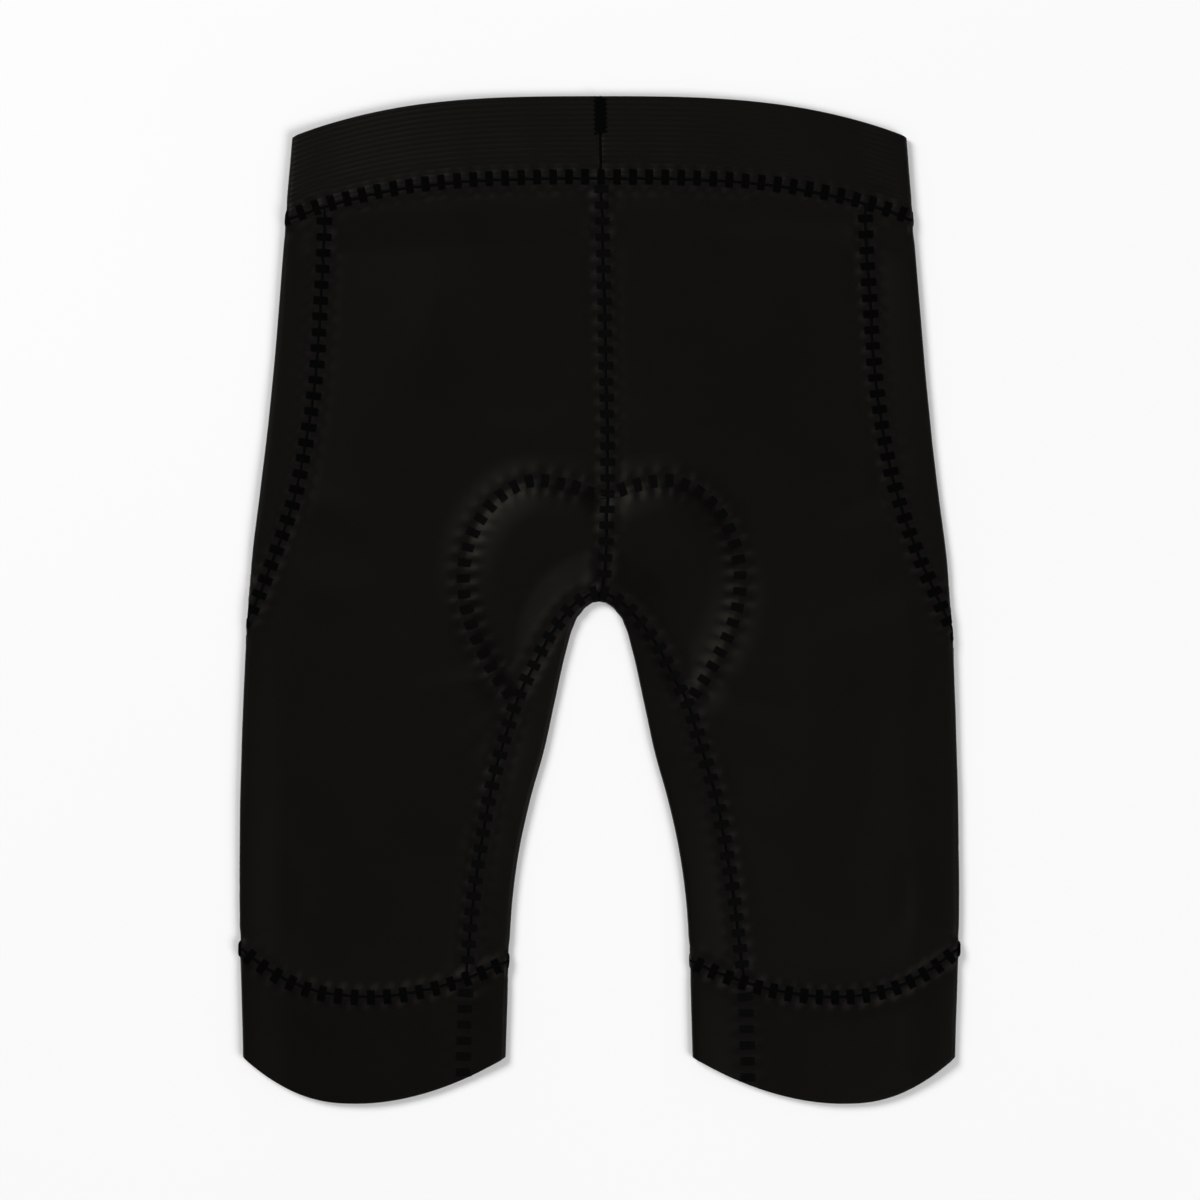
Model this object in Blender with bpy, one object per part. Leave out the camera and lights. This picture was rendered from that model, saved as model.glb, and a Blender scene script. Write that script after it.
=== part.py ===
"""Triathlon shorts laid flat on their front, back upwards, as ten sewn pieces of cloth.

The waist points to +Y, the wearer's left is -X and the surface they lie on is z = 0. Every outer face lies on
one skin: the front is flat on the surface, the back lies on it, and the two are joined by soft round folds along
the outer sides and along the inside of the legs. Each piece is a wall under its own stretch of that skin, so the
pieces meet at their seams. All sizes here are millimetres; solid() turns them into metres.
"""

import math

import bmesh
import bpy
import numpy as np

METRES = 0.001

# Cloth
PANEL_WALL = 1.2
WAISTBAND_WALL = 2.0
LEG_BAND_WALL = 1.6
SEAM_GAP = 0.3
LAYER_GAP = 0.4
PAD_THICKNESS = 4.6
PAD_GAP = 0.5

# Garment
WAIST_Y = 252.0
WAIST_CORNER_Y = 231.6
WAISTBAND_SEAM_Y = 210.5
WAISTBAND_SEAM_CORNER_Y = 189.5
FRONT_WAIST_DIP = 14.0
LEG_SEAM_OUTER_Y = -174.0
LEG_SEAM_INNER_Y = -180.0
LEG_SEAM_DROP = 21.6
HEM_CORNER_Y = -229.0
HEM_DROP = 23.0
CROTCH_Y = -1.0
CROTCH_ROW_OUTER_Y = -6.0
STRIP_POINT = 2.0

# Folds: outer radius at the waistband, the body and the leg bands
WAIST_FOLD_RADIUS = 2.7
BODY_FOLD_RADIUS = 2.3
LEG_FOLD_RADIUS = 2.4
FOLD_ROLL = 22.0
WAIST_SLOPE = 20.0
LEG_SLOPE = 15.0

# Seat pad: how far its edge lies outside its stitches and inside the crotch fold, and how the cloth rises over it
PAD_MIDDLE_X = 1.25
PAD_EDGE = 3.0
PAD_CLEAR_OF_FOLD = 6.0
PAD_RISE_OUTSIDE = 14.0
PAD_RISE = 36.0
PAD_RISE_AT_FOLD = 27.0
PAD_TIP_ARC = 51.0
PAD_STIFF = 4.0

# Mesh spacing: along a row, from row to row, and in the rows just under the crotch
FLAT_STEP = 8.5
FOLD_STEP = 1.0
ROW_STEP = 19.0
FINE_ROW_STEP = 8.0
CROTCH_ROWS = 5
CROTCH_ROWS_DEPTH = 9.0
BACK_COLUMNS = 22
FRONT_COLUMNS = 18
SHARP_ANGLE = math.radians(40)

# The strips: their columns, the step between rows down to each arc, and where their rows begin to slant
STRIP_COLUMNS = 13
STRIP_CROTCH_ARC = 14.0
STRIP_CROTCH_STEP = 2.8
STRIP_PAD_ARC = 60.0
STRIP_PAD_STEP = 7.0
STRIP_STEP = 18.0
STRIP_SLANT = 60.0

# The bands: points from the join to the second fold, round each fold, along the front, and on to the join
BAND_ROWS = 3
WAISTBAND_POINTS = (14, 8, 26, 14)
LEG_BAND_POINTS = (5, 8, 22, 19)
LEG_BAND_JOIN_ACROSS = 0.85

# The pad's mesh on one half
PAD_ROWS = 17
PAD_COLUMNS = 8

# How finely the curves are sampled, and how far from the inner fold its shape still matters
FOLD_LINE_POINTS = 320
PAD_LINE_POINTS = 60
ROUND_SAMPLES = 400
SLOPE_STEP = 0.05
FOLD_REACH = 60.0


def table(columns, *rows):
    """A table whose columns are read by name."""
    return {name: np.array(values, float) for name, values in zip(columns.split(), zip(*rows))}


OUTER_FOLD = table(
    "y x",
    (-252, 178.0),
    (-229, 178.2),
    (-160, 180.0),
    (-100, 179.5),
    (-50, 178.0),
    (0, 175.5),
    (25, 173.4),
    (50, 170.2),
    (100, 164.5),
    (150, 160.0),
    (232, 153.6),
    (252, 152.0),
)
INNER_FOLD = table(
    "x y",
    (0, CROTCH_Y),
    (5, -3),
    (9.5, -7),
    (13.5, -15),
    (16.4, -25),
    (22, -50),
    (27.5, -75),
    (34.5, -100),
    (40, -125),
    (43.4, -150),
    (45, -175),
    (46, -205),
    (46.8, -232),
)
# How wide the inner-leg strip shows on each side of its fold, by the distance down the fold from the crotch
STRIP_WIDTH = table(
    "arc left right",
    (0, STRIP_POINT, STRIP_POINT),
    (17, 5.6, 6.6),
    (28, 10.4, 11.6),
    (39, 13.3, 14.9),
    (50, 16.4, 17.7),
    (61, 18.7, 20.9),
    (82, 20.7, 22.9),
    (104, 20.3, 23.3),
    (142, 19.2, 23.3),
    (175, 20.1, 24.8),
    (210, 21.3, 27.6),
)
# The side seam's distance round the outer fold, to the back above the thigh and to the front below it
SIDE_SEAM = table(
    "y left right",
    (-180, -15.0, -13.0),
    (-120, -13.0, -11.5),
    (-60, -8.5, -7.5),
    (-20, -2.5, -0.5),
    (0, 5.7, 7.5),
    (20, 12.5, 15.2),
    (50, 19.5, 22.6),
    (75, 21.8, 25.8),
    (100, 23.3, 26.9),
    (150, 22.3, 26.4),
    (195, 21.2, 25.6),
)
# The centre-back seam wanders a little off the middle
CENTRE_SEAM = table(
    "y drift",
    (1, 0.3),
    (10, 2.1),
    (20, 2.9),
    (45, 4.0),
    (80, 4.1),
    (130, 3.0),
    (180, 1.8),
    (215, 0.8),
    (252, 0.5),
)
# The curve of the hem and of the leg-band seam, across the leg from the outer fold to the inner one
LEG_CURVE = table(
    "across drop",
    (0, 0),
    (0.1, 0.44),
    (0.2, 0.76),
    (0.3, 0.94),
    (0.42, 1),
    (0.55, 0.95),
    (0.7, 0.76),
    (0.85, 0.44),
    (1, 0),
)
# The ring of stitches round one half of the pad, from the notch at the top to the inner-leg seam
PAD_STITCHES = table(
    "x y",
    (0, 51.5),
    (18, 57.5),
    (35, 59.6),
    (50, 52.5),
    (61, 40),
    (68, 22),
    (69, 5),
    (65, -13),
    (56.5, -31),
    (43.5, -51),
)


def smooth(at, xs, ys):
    """A smooth curve through the table's points, read at any place."""
    slopes = np.gradient(ys, xs)
    i = np.clip(np.searchsorted(xs, at, side="right") - 1, 0, len(xs) - 2)
    span = xs[i + 1] - xs[i]
    t = np.clip((at - xs[i]) / span, 0, 1)
    start = (1 + 2 * t) * (1 - t) ** 2 * ys[i] + t * (1 - t) ** 2 * span * slopes[i]
    end = t**2 * (3 - 2 * t) * ys[i + 1] - t**2 * (1 - t) * span * slopes[i + 1]
    return start + end


def ease(share):
    """From 0 to 1 with level ends."""
    share = np.clip(share, 0, 1)
    return share**2 * (3 - 2 * share)


def running_length(line):
    steps = np.hypot(*np.diff(line, axis=0).T)
    return np.concatenate([[0], np.cumsum(steps)])


def smooth_line(x, y, count, first=0):
    """A smooth line of evenly spaced points, from the point numbered first to the last one."""
    chord = running_length(np.stack([x, y], axis=1))
    at = np.linspace(chord[first], chord[-1], count)
    return np.stack([smooth(at, chord, x), smooth(at, chord, y)], axis=1)


def left_of(line):
    """Unit vectors to the left of a line's direction."""
    along = np.gradient(line, axis=0)
    along /= np.linalg.norm(along, axis=1)[:, None]
    return np.stack([-along[:, 1], along[:, 0]], axis=1)


def on_line(line, arc, at):
    return np.stack([np.interp(at, arc, line[:, 0]), np.interp(at, arc, line[:, 1])], axis=-1)


def mirrored_start(values, sign):
    """The values with the second one's mirror image in front, so that a curve starts square to the middle."""
    return np.concatenate([[sign * values[1]], values])


# The inside edge of one leg, x counted from the middle: the crotch is level, so its two halves meet smoothly
FOLD_LINE = smooth_line(
    mirrored_start(INNER_FOLD["x"], -1),
    mirrored_start(INNER_FOLD["y"], 1),
    FOLD_LINE_POINTS,
    first=1,
)
FOLD_ARC = running_length(FOLD_LINE)
FOLD_INWARD = left_of(FOLD_LINE)


def outer_x(y):
    return smooth(y, OUTER_FOLD["y"], OUTER_FOLD["x"])


def inner_x(y):
    return np.interp(-y, -FOLD_LINE[:, 1], FOLD_LINE[:, 0])


def seam_line(side, shift):
    """The inner-leg seam of one leg, moved outwards by shift."""
    width = smooth(FOLD_ARC, STRIP_WIDTH["arc"], STRIP_WIDTH[side]) + shift
    return FOLD_LINE + FOLD_INWARD * width[:, None]


def curve_across(share, corner_y, middle_y):
    """The waist's curves: share is the distance from the middle, 0 there and 1 at the outer fold."""
    return corner_y + (middle_y - corner_y) * (1 - np.clip(share, 0, 1) ** 3)


def waistband_seam_y(share, layer):
    dip = FRONT_WAIST_DIP if layer == "front" else 0
    return curve_across(share, WAISTBAND_SEAM_CORNER_Y, WAISTBAND_SEAM_Y - dip)


def waist_y(share, layer):
    dip = FRONT_WAIST_DIP if layer == "front" else 0
    return curve_across(share, WAIST_CORNER_Y, WAIST_Y - dip)


def leg_seam_y(across):
    drop = LEG_SEAM_DROP * smooth(across, LEG_CURVE["across"], LEG_CURVE["drop"])
    return LEG_SEAM_OUTER_Y + (LEG_SEAM_INNER_Y - LEG_SEAM_OUTER_Y) * across - drop


def hem_y(across):
    return HEM_CORNER_Y - HEM_DROP * smooth(across, LEG_CURVE["across"], LEG_CURVE["drop"])


LEG_OUTER_X = float(outer_x(LEG_SEAM_OUTER_Y))
LEG_INNER_X = float(inner_x(LEG_SEAM_INNER_Y))


def across_leg(x):
    """Where a distance from the middle lies across the leg at its band, 0 outside and 1 inside."""
    return np.clip((LEG_OUTER_X - x) / (LEG_OUTER_X - LEG_INNER_X), 0, 1)


def seam_foot(line, lift=0.0):
    """Where a line down the leg comes down to the leg-band seam, raised by lift: its arc along the fold, x and y."""
    above = line[:, 1] - leg_seam_y(across_leg(line[:, 0])) - lift
    arc = np.interp(0, -above, FOLD_ARC)
    return float(arc), *on_line(line, FOLD_ARC, arc)


def fold_radius(y):
    waist = ease((y - WAISTBAND_SEAM_CORNER_Y + FOLD_ROLL) / FOLD_ROLL)
    leg = ease((LEG_SEAM_OUTER_Y + LEG_SLOPE - y) / LEG_SLOPE)
    extra = (WAIST_FOLD_RADIUS - BODY_FOLD_RADIUS) * waist + (LEG_FOLD_RADIUS - BODY_FOLD_RADIUS) * leg
    return BODY_FOLD_RADIUS + extra


def distance_to_line(points, line):
    """Each point's distance to the nearest stretch of a line."""
    start = line[:-1]
    along = np.diff(line, axis=0)
    t = np.einsum("pij,ij->pi", points[:, None, :] - start, along) / (along**2).sum(axis=1)
    nearest = start + np.clip(t, 0, 1)[:, :, None] * along
    return np.linalg.norm(points[:, None, :] - nearest, axis=2).min(axis=1)


def inside(points, outline):
    """Whether each point is inside a closed outline, by counting the edges to its right."""
    start = outline
    end = np.roll(outline, -1, axis=0)
    x, y = points[:, :1], points[:, 1:]
    spans = (start[:, 1] > y) != (end[:, 1] > y)
    rise = np.where(end[:, 1] == start[:, 1], 1, end[:, 1] - start[:, 1])
    crossing = start[:, 0] + (y - start[:, 1]) * (end[:, 0] - start[:, 0]) / rise
    return (spans & (x < crossing)).sum(axis=1) % 2 == 1


# The pad's edge on one half, from the notch to its tip on the inner-leg seam
PAD_STITCH_LINE = smooth_line(PAD_STITCHES["x"], PAD_STITCHES["y"], PAD_LINE_POINTS)
PAD_OUTER = PAD_STITCH_LINE + PAD_EDGE * left_of(PAD_STITCH_LINE)
PAD_OUTER[:, 0] = np.maximum(PAD_OUTER[:, 0], 0)
PAD_TIP = on_line(FOLD_LINE, FOLD_ARC, PAD_TIP_ARC)


def pad_share(x, y):
    """How far the back layer is lifted by the pad, from 0 beside it to 1 over its middle."""
    points = np.stack([np.abs(x - PAD_MIDDLE_X), y], axis=1)
    edge = np.concatenate([PAD_OUTER, [PAD_TIP]])
    middle = [[0, CROTCH_Y]]
    outline = np.concatenate([edge, FOLD_LINE[FOLD_ARC < PAD_TIP_ARC][::-1], middle])
    within = distance_to_line(points, edge) * np.where(inside(points, outline), 1, -1)
    return ease((within + PAD_RISE_OUTSIDE) / PAD_RISE)


def fold_distance(x, y):
    """Distance in from the nearest folded edge of the garment."""
    away = np.abs(x)
    distance = outer_x(y) - away
    near = (y < CROTCH_Y + FOLD_REACH) & (away < INNER_FOLD["x"][-1] + FOLD_REACH)
    if near.any():
        inner = distance_to_line(np.stack([away[near], y[near]], axis=1), FOLD_LINE)
        distance[near] = np.minimum(distance[near], inner)
    return np.maximum(distance, 0)


def height(x, y, layer):
    """Height of the skin: the top of the back layer, or the underside of the front one."""
    shape = np.shape(x)
    x = np.ravel(x).astype(float)
    y = np.ravel(y).astype(float)
    radius = fold_radius(y)
    distance = fold_distance(x, y)
    lift = np.sqrt(np.maximum(radius**2 - np.maximum(radius - distance, 0) ** 2, 0))
    if layer == "front":
        return (radius - lift).reshape(shape)
    seam = waistband_seam_y(np.abs(x) / outer_x(y), "front")
    waist = ease((y - seam + WAIST_SLOPE) / WAIST_SLOPE)
    leg = ease((leg_seam_y(across_leg(np.abs(x))) + LEG_SLOPE - y) / LEG_SLOPE)
    wall = PANEL_WALL + (WAISTBAND_WALL - PANEL_WALL) * waist + (LEG_BAND_WALL - PANEL_WALL) * leg
    flat = 2 * wall + LAYER_GAP
    beyond = np.maximum(distance - radius, 0)
    roll = (2 * radius - flat) * (1 - ease(beyond / FOLD_ROLL))
    pad = (PAD_THICKNESS + PAD_GAP) * pad_share(x, y) * ease(beyond / PAD_RISE_AT_FOLD)
    top = np.where(distance < radius, radius + lift, flat + roll + pad)
    return top.reshape(shape)


def slopes(x, y, layer):
    along_x = height(x + SLOPE_STEP, y, layer) - height(x - SLOPE_STEP, y, layer)
    along_y = height(x, y + SLOPE_STEP, layer) - height(x, y - SLOPE_STEP, layer)
    return along_x / (2 * SLOPE_STEP), along_y / (2 * SLOPE_STEP)


def flat_skin(x, y, layer):
    """Points and outward directions of the skin away from the folds."""
    up = -1 if layer == "front" else 1
    along_x, along_y = slopes(x, y, layer)
    outward = np.stack([-up * along_x, -up * along_y, up * np.ones_like(x)], axis=-1)
    outward /= np.linalg.norm(outward, axis=-1)[..., None]
    return np.stack([x, y, height(x, y, layer)], axis=-1), outward


def folded_skin(x, y, angle, radius, inward):
    """Points and outward directions on a fold: x and y are on its edge, angle 90 degrees is its top."""
    across = radius * (1 - np.cos(angle))
    points = np.stack([x + inward[0] * across, y + inward[1] * across, radius * (1 + np.sin(angle))], axis=-1)
    outward = np.stack([-inward[0] * np.cos(angle), -inward[1] * np.cos(angle), np.sin(angle)], axis=-1)
    return points, outward


def inward_of(s, radius):
    """Plan distance from the fold's edge of a point s round the cloth from it."""
    quarter = math.pi / 2 * radius
    on_fold = radius * (1 - np.cos(np.minimum(np.abs(s), quarter) / radius))
    return on_fold + np.maximum(np.abs(s) - quarter, 0)


def round_of(inward, radius):
    """Distance round the cloth from the fold's edge of a point that lies inward of it."""
    on_fold = radius * np.arccos(1 - np.minimum(inward, radius) / radius)
    return on_fold + np.maximum(inward - radius, 0)


def spread(start, end, count, radius, flat_step=FLAT_STEP):
    """count stations from start to end, close together where they go round the fold at 0."""
    fold = math.pi / 2 * radius
    fine = np.linspace(start, end, ROUND_SAMPLES)
    weight = fine / flat_step + np.clip(fine, -fold, fold) * (1 / FOLD_STEP - 1 / flat_step)
    weight = np.abs(weight - weight[0])
    return np.interp(np.linspace(0, weight[-1], count), weight, fine)


# ---- Solids ----


def material(name, colour, roughness):
    made = bpy.data.materials.new(name)
    made.use_nodes = True
    shader = made.node_tree.nodes["Principled BSDF"]
    shader.inputs["Base Color"].default_value = (*colour, 1)
    shader.inputs["Roughness"].default_value = roughness
    shader.inputs["Metallic"].default_value = 0
    return made


def solid(name, vertices, faces, finish):
    """One closed piece in metres, its faces turned outwards."""
    mesh = bmesh.new()
    made = [mesh.verts.new([c * METRES for c in vertex]) for vertex in vertices]
    for face in faces:
        mesh.faces.new([made[i] for i in face])
    if mesh.calc_volume(signed=True) < 0:
        bmesh.ops.reverse_faces(mesh, faces=mesh.faces)
    data = bpy.data.meshes.new(name)
    mesh.to_mesh(data)
    mesh.free()
    data.shade_smooth()
    data.set_sharp_from_angle(angle=SHARP_ANGLE)
    data.materials.append(finish)
    piece = bpy.data.objects.new(name, data)
    bpy.context.scene.collection.objects.link(piece)


def two_faced(name, outer, inner, finish):
    """A closed solid between two grids of points that lie over each other."""
    rows, columns = outer.shape[:2]
    count = rows * columns
    faces = []
    for r in range(rows - 1):
        for c in range(columns - 1):
            corner = r * columns + c
            quad = [corner, corner + 1, corner + columns + 1, corner + columns]
            faces.append(quad)
            faces.append([i + count for i in reversed(quad)])
    rim = list(range(columns))
    rim += [r * columns + columns - 1 for r in range(1, rows)]
    rim += [(rows - 1) * columns + c for c in range(columns - 2, -1, -1)]
    rim += [r * columns for r in range(rows - 2, 0, -1)]
    for a, b in zip(rim, rim[1:] + rim[:1]):
        faces.append([b, a, a + count, b + count])
    vertices = np.concatenate([outer.reshape(-1, 3), inner.reshape(-1, 3)])
    solid(name, vertices.tolist(), faces, finish)


def wall(name, points, outward, thickness, finish):
    """A piece of cloth: a wall of even thickness under its stretch of the skin."""
    two_faced(name, points, points - thickness * outward, finish)


# ---- Front and back panels ----

PANEL_FOOT_X = {side: seam_foot(seam_line(side, SEAM_GAP / 2), SEAM_GAP / 2)[1] for side in ("left", "right")}
PAD_TOP_Y = float(PAD_OUTER[:, 1].max()) + PAD_RISE_OUTSIDE
PAD_FOOT_Y = float(PAD_TIP[1]) - PAD_RISE_OUTSIDE


def panel_end_x(side, y, layer):
    """Where a panel's row ends: at the centre seam, or at the inner-leg seam below the crotch."""
    sign = -1 if side == "left" else 1
    drift = smooth(y, CENTRE_SEAM["y"], CENTRE_SEAM["drift"]) if layer == "back" else 0
    seam = seam_line(side, SEAM_GAP / 2)
    below = np.interp(-y, -seam[:, 1], seam[:, 0])
    below = np.where(y < seam[0, 1], below, -np.inf)
    return np.maximum(sign * drift + SEAM_GAP / 2, below)


def row_y(side, share, down, layer):
    """Height on the garment of a panel's row at a share of the way across it from the outer fold.

    down is 0 at the waistband seam, 1 level with the point of the crotch and 2 at the leg-band seam.
    """
    crotch = CROTCH_Y + STRIP_POINT + SEAM_GAP / 2
    middle = CROTCH_ROW_OUTER_Y + (crotch - CROTCH_ROW_OUTER_Y) * share
    if down < 1:
        top = waistband_seam_y(1 - share, layer) - SEAM_GAP / 2
        return top + (middle - top) * down
    foot_x = PANEL_FOOT_X[side]
    bottom = leg_seam_y(across_leg(LEG_OUTER_X + (foot_x - LEG_OUTER_X) * share)) + SEAM_GAP / 2
    return middle + (bottom - middle) * (down - 1)


def panel_row(side, s, down):
    """One row of skin of a leg's tube: s runs round from the outer fold, to the back if positive."""
    edge_y = float(row_y(side, 0.0, down, "back"))
    radius = float(fold_radius(edge_y))
    edge_x = float(outer_x(edge_y))
    inward = inward_of(s, radius)
    points = np.zeros((len(s), 3))
    outward = np.zeros((len(s), 3))
    for layer, chosen in (("back", s >= 0), ("front", s < 0)):
        if not chosen.any():
            continue
        end_x = float(panel_end_x(side, row_y(side, 1.0, down, layer), layer))
        y = row_y(side, inward[chosen] / (edge_x - end_x), down, layer)
        x = edge_x - inward[chosen]
        on_fold = inward[chosen] < radius
        sign = -1 if side == "left" else 1
        flat_points, flat_outward = flat_skin(sign * x, y, layer)
        angle = np.clip(s[chosen] / radius, -math.pi / 2, math.pi / 2)
        edge = np.full_like(y, sign * edge_x)
        fold_points, fold_outward = folded_skin(edge, y, angle, radius, (-sign, 0))
        points[chosen] = np.where(on_fold[:, None], fold_points, flat_points)
        outward[chosen] = np.where(on_fold[:, None], fold_outward, flat_outward)
    return points, outward


def evenly(start, end, step):
    return np.linspace(start, end, 1 + round(abs(end - start) / step))


def panel_rows(side):
    """The rows down both panels of a leg, as row_y counts them, closer together where the cloth curves."""
    top, crotch, foot = (float(row_y(side, 1.0, down, "back")) for down in (0, 1, 2))
    waist_slope_end = top - FRONT_WAIST_DIP - WAIST_SLOPE
    upper = np.concatenate([
        evenly(top, waist_slope_end, FINE_ROW_STEP),
        evenly(waist_slope_end, PAD_TOP_Y, ROW_STEP)[1:],
        evenly(PAD_TOP_Y, crotch, FINE_ROW_STEP)[1:],
    ])
    under_crotch = crotch - CROTCH_ROWS_DEPTH * (np.arange(1, CROTCH_ROWS + 1) / CROTCH_ROWS) ** 2
    lower = np.concatenate([
        under_crotch,
        evenly(under_crotch[-1], PAD_FOOT_Y, FINE_ROW_STEP)[1:],
        evenly(PAD_FOOT_Y, foot + LEG_SLOPE, ROW_STEP)[1:],
        evenly(foot + LEG_SLOPE, foot, FINE_ROW_STEP)[1:],
    ])
    return np.concatenate([(top - upper) / (top - crotch), 1 + (crotch - lower) / (crotch - foot)])


def panel(name, side, layer, columns, finish):
    """A front or a back: from the side seam, round the outer fold where it crosses it, to the middle."""
    points, outward = [], []
    for down in panel_rows(side):
        edge_y = float(row_y(side, 0.0, down, layer))
        radius = float(fold_radius(edge_y))
        seam = float(smooth(edge_y, SIDE_SEAM["y"], SIDE_SEAM[side]))
        end_x = float(panel_end_x(side, row_y(side, 1.0, down, layer), layer))
        reach = float(round_of(outer_x(edge_y) - end_x, radius))
        if layer == "back":
            s = spread(seam + SEAM_GAP / 2, reach, columns, radius)
        else:
            s = spread(seam - SEAM_GAP / 2, -reach, columns, radius)
        row_points, row_outward = panel_row(side, s, down)
        points.append(row_points)
        outward.append(row_outward)
    wall(name, np.array(points), np.array(outward), PANEL_WALL, finish)


# ---- Inner-leg strips ----


def strip(name, side, finish):
    """The strip folded round the inside of a leg, from its point at the crotch to the leg-band seam."""
    sign = -1 if side == "left" else 1
    seam = seam_line(side, -SEAM_GAP / 2)
    seam_end = seam_foot(seam, SEAM_GAP / 2)[0]
    fold_end = seam_foot(FOLD_LINE, SEAM_GAP / 2)[0]
    start = float(np.interp(SEAM_GAP / 2, FOLD_LINE[:, 0], FOLD_ARC))
    stations = np.concatenate([
        evenly(start, STRIP_CROTCH_ARC, STRIP_CROTCH_STEP),
        evenly(STRIP_CROTCH_ARC, STRIP_PAD_ARC, STRIP_PAD_STEP)[1:],
        evenly(STRIP_PAD_ARC, fold_end, STRIP_STEP)[1:],
    ])
    points, outward = [], []
    for arc in stations:
        slant = float(ease((arc - fold_end + STRIP_SLANT) / STRIP_SLANT))
        edge = on_line(FOLD_LINE, FOLD_ARC, arc)
        corner = on_line(seam, FOLD_ARC, arc + slant * (seam_end - fold_end))
        width = float(np.hypot(*(corner - edge)))
        inward = (corner - edge) / width
        radius = float(fold_radius(edge[1]))
        reach = float(round_of(width, radius))
        s = spread(-reach, reach, STRIP_COLUMNS, radius, FLAT_STEP / 2)
        across = inward_of(s, radius)
        x = edge[0] + inward[0] * across
        straight = leg_seam_y(across_leg(edge[0])) * (1 - across / width)
        straight = straight + leg_seam_y(across_leg(corner[0])) * across / width
        bend = slant * (leg_seam_y(across_leg(x)) - straight)
        y = edge[1] + inward[1] * across + bend
        back_points, back_outward = flat_skin(sign * x, y, "back")
        front_points, front_outward = flat_skin(sign * x, y, "front")
        square = on_line(FOLD_INWARD, FOLD_ARC, arc) * (sign, 1)
        angle = np.clip(s / radius, -math.pi / 2, math.pi / 2)
        fold_outward = folded_skin(x, y, angle, radius, square)[1]
        fold_points = np.stack([sign * x, y, radius * (1 + np.sin(angle))], axis=-1)
        on_fold = (across < radius)[:, None]
        upper = (s >= 0)[:, None]
        points.append(np.where(on_fold, fold_points, np.where(upper, back_points, front_points)))
        outward.append(np.where(on_fold, fold_outward, np.where(upper, back_outward, front_outward)))
    wall(name, np.array(points), np.array(outward), PANEL_WALL, finish)


# ---- Bands ----


def band_row(folds, row_height, join, counts):
    """One row of a band from its join, round both folds and back to it.

    folds are the plan places of the two folded edges, row_height(share, layer) is the row's height on the
    garment, share running from the first fold to the second, and join is the share at which the strip's ends meet.
    """
    first, second = folds
    turn = np.sign(second - first)
    length = abs(second - first)
    radius = float(fold_radius(row_height(0.0, "back")))
    low, high = radius / length, 1 - radius / length
    gap = SEAM_GAP / 2 / length
    to_second, round_fold, along_front, to_join = counts
    angles = np.linspace(math.pi / 2, -math.pi / 2, round_fold + 1)[1:-1]
    stretches = (
        ("back", np.linspace(join + gap, high, to_second)),
        ("second", angles),
        ("front", np.linspace(high, low, along_front)),
        ("first", -angles),
        ("back", np.linspace(low, join - gap, to_join)),
    )
    points, outward = [], []
    for kind, values in stretches:
        if kind in ("back", "front"):
            x = first + turn * length * values
            made = flat_skin(x, row_height(values, kind), kind)
        else:
            at, inward = (first, (turn, 0)) if kind == "first" else (second, (-turn, 0))
            across = radius * (1 - np.cos(values)) / length
            share = across if kind == "first" else 1 - across
            y = np.where(values > 0, row_height(share, "back"), row_height(share, "front"))
            made = folded_skin(np.full_like(y, at), y, values, radius, inward)
        points.append(made[0])
        outward.append(made[1])
    return np.concatenate(points), np.concatenate(outward)


def band(name, folds_of, height_of, join_of, counts, thickness, finish):
    points, outward = [], []
    for down in np.linspace(0, 1, BAND_ROWS):
        row = band_row(folds_of(down), lambda share, layer: height_of(share, layer, down), join_of(down), counts)
        points.append(row[0])
        outward.append(row[1])
    wall(name, np.array(points), np.array(outward), thickness, finish)


def waistband(finish):
    """The waistband: one strip all round the waist, joined at the centre back."""

    def height_of(share, layer, down):
        from_middle = np.abs(2 * share - 1)
        bottom = waistband_seam_y(from_middle, layer) + SEAM_GAP / 2
        return bottom + (waist_y(from_middle, layer) - bottom) * (1 - down)

    def folds_of(down):
        half = float(outer_x(height_of(0.0, "back", down)))
        return -half, half

    def join_of(down):
        drift = float(smooth(height_of(0.5, "back", down), CENTRE_SEAM["y"], CENTRE_SEAM["drift"]))
        return 0.5 + drift / 2 / folds_of(down)[1]

    band("waistband", folds_of, height_of, join_of, WAISTBAND_POINTS, WAISTBAND_WALL, finish)


def leg_band(name, side, finish):
    """A leg band: one strip round the hem of a leg, joined in line with the inner-leg seam."""
    sign = -1 if side == "left" else 1
    seam = seam_line(side, 0)

    def height_of(share, layer, down):
        top = leg_seam_y(share) - SEAM_GAP / 2
        return top + (hem_y(share) - top) * down

    def folds_of(down):
        outer = float(outer_x(height_of(0.0, "back", down)))
        inner = float(inner_x(height_of(1.0, "back", down)))
        return sign * outer, sign * inner

    def join_of(down):
        outer, inner = folds_of(down)
        y = height_of(LEG_BAND_JOIN_ACROSS, "back", down)
        join_x = np.interp(-y, -seam[:, 1], seam[:, 0])
        return (abs(outer) - float(join_x)) / (abs(outer) - abs(inner))

    band(name, folds_of, height_of, join_of, LEG_BAND_POINTS, LEG_BAND_WALL, finish)


# ---- Seat pad ----


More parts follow.
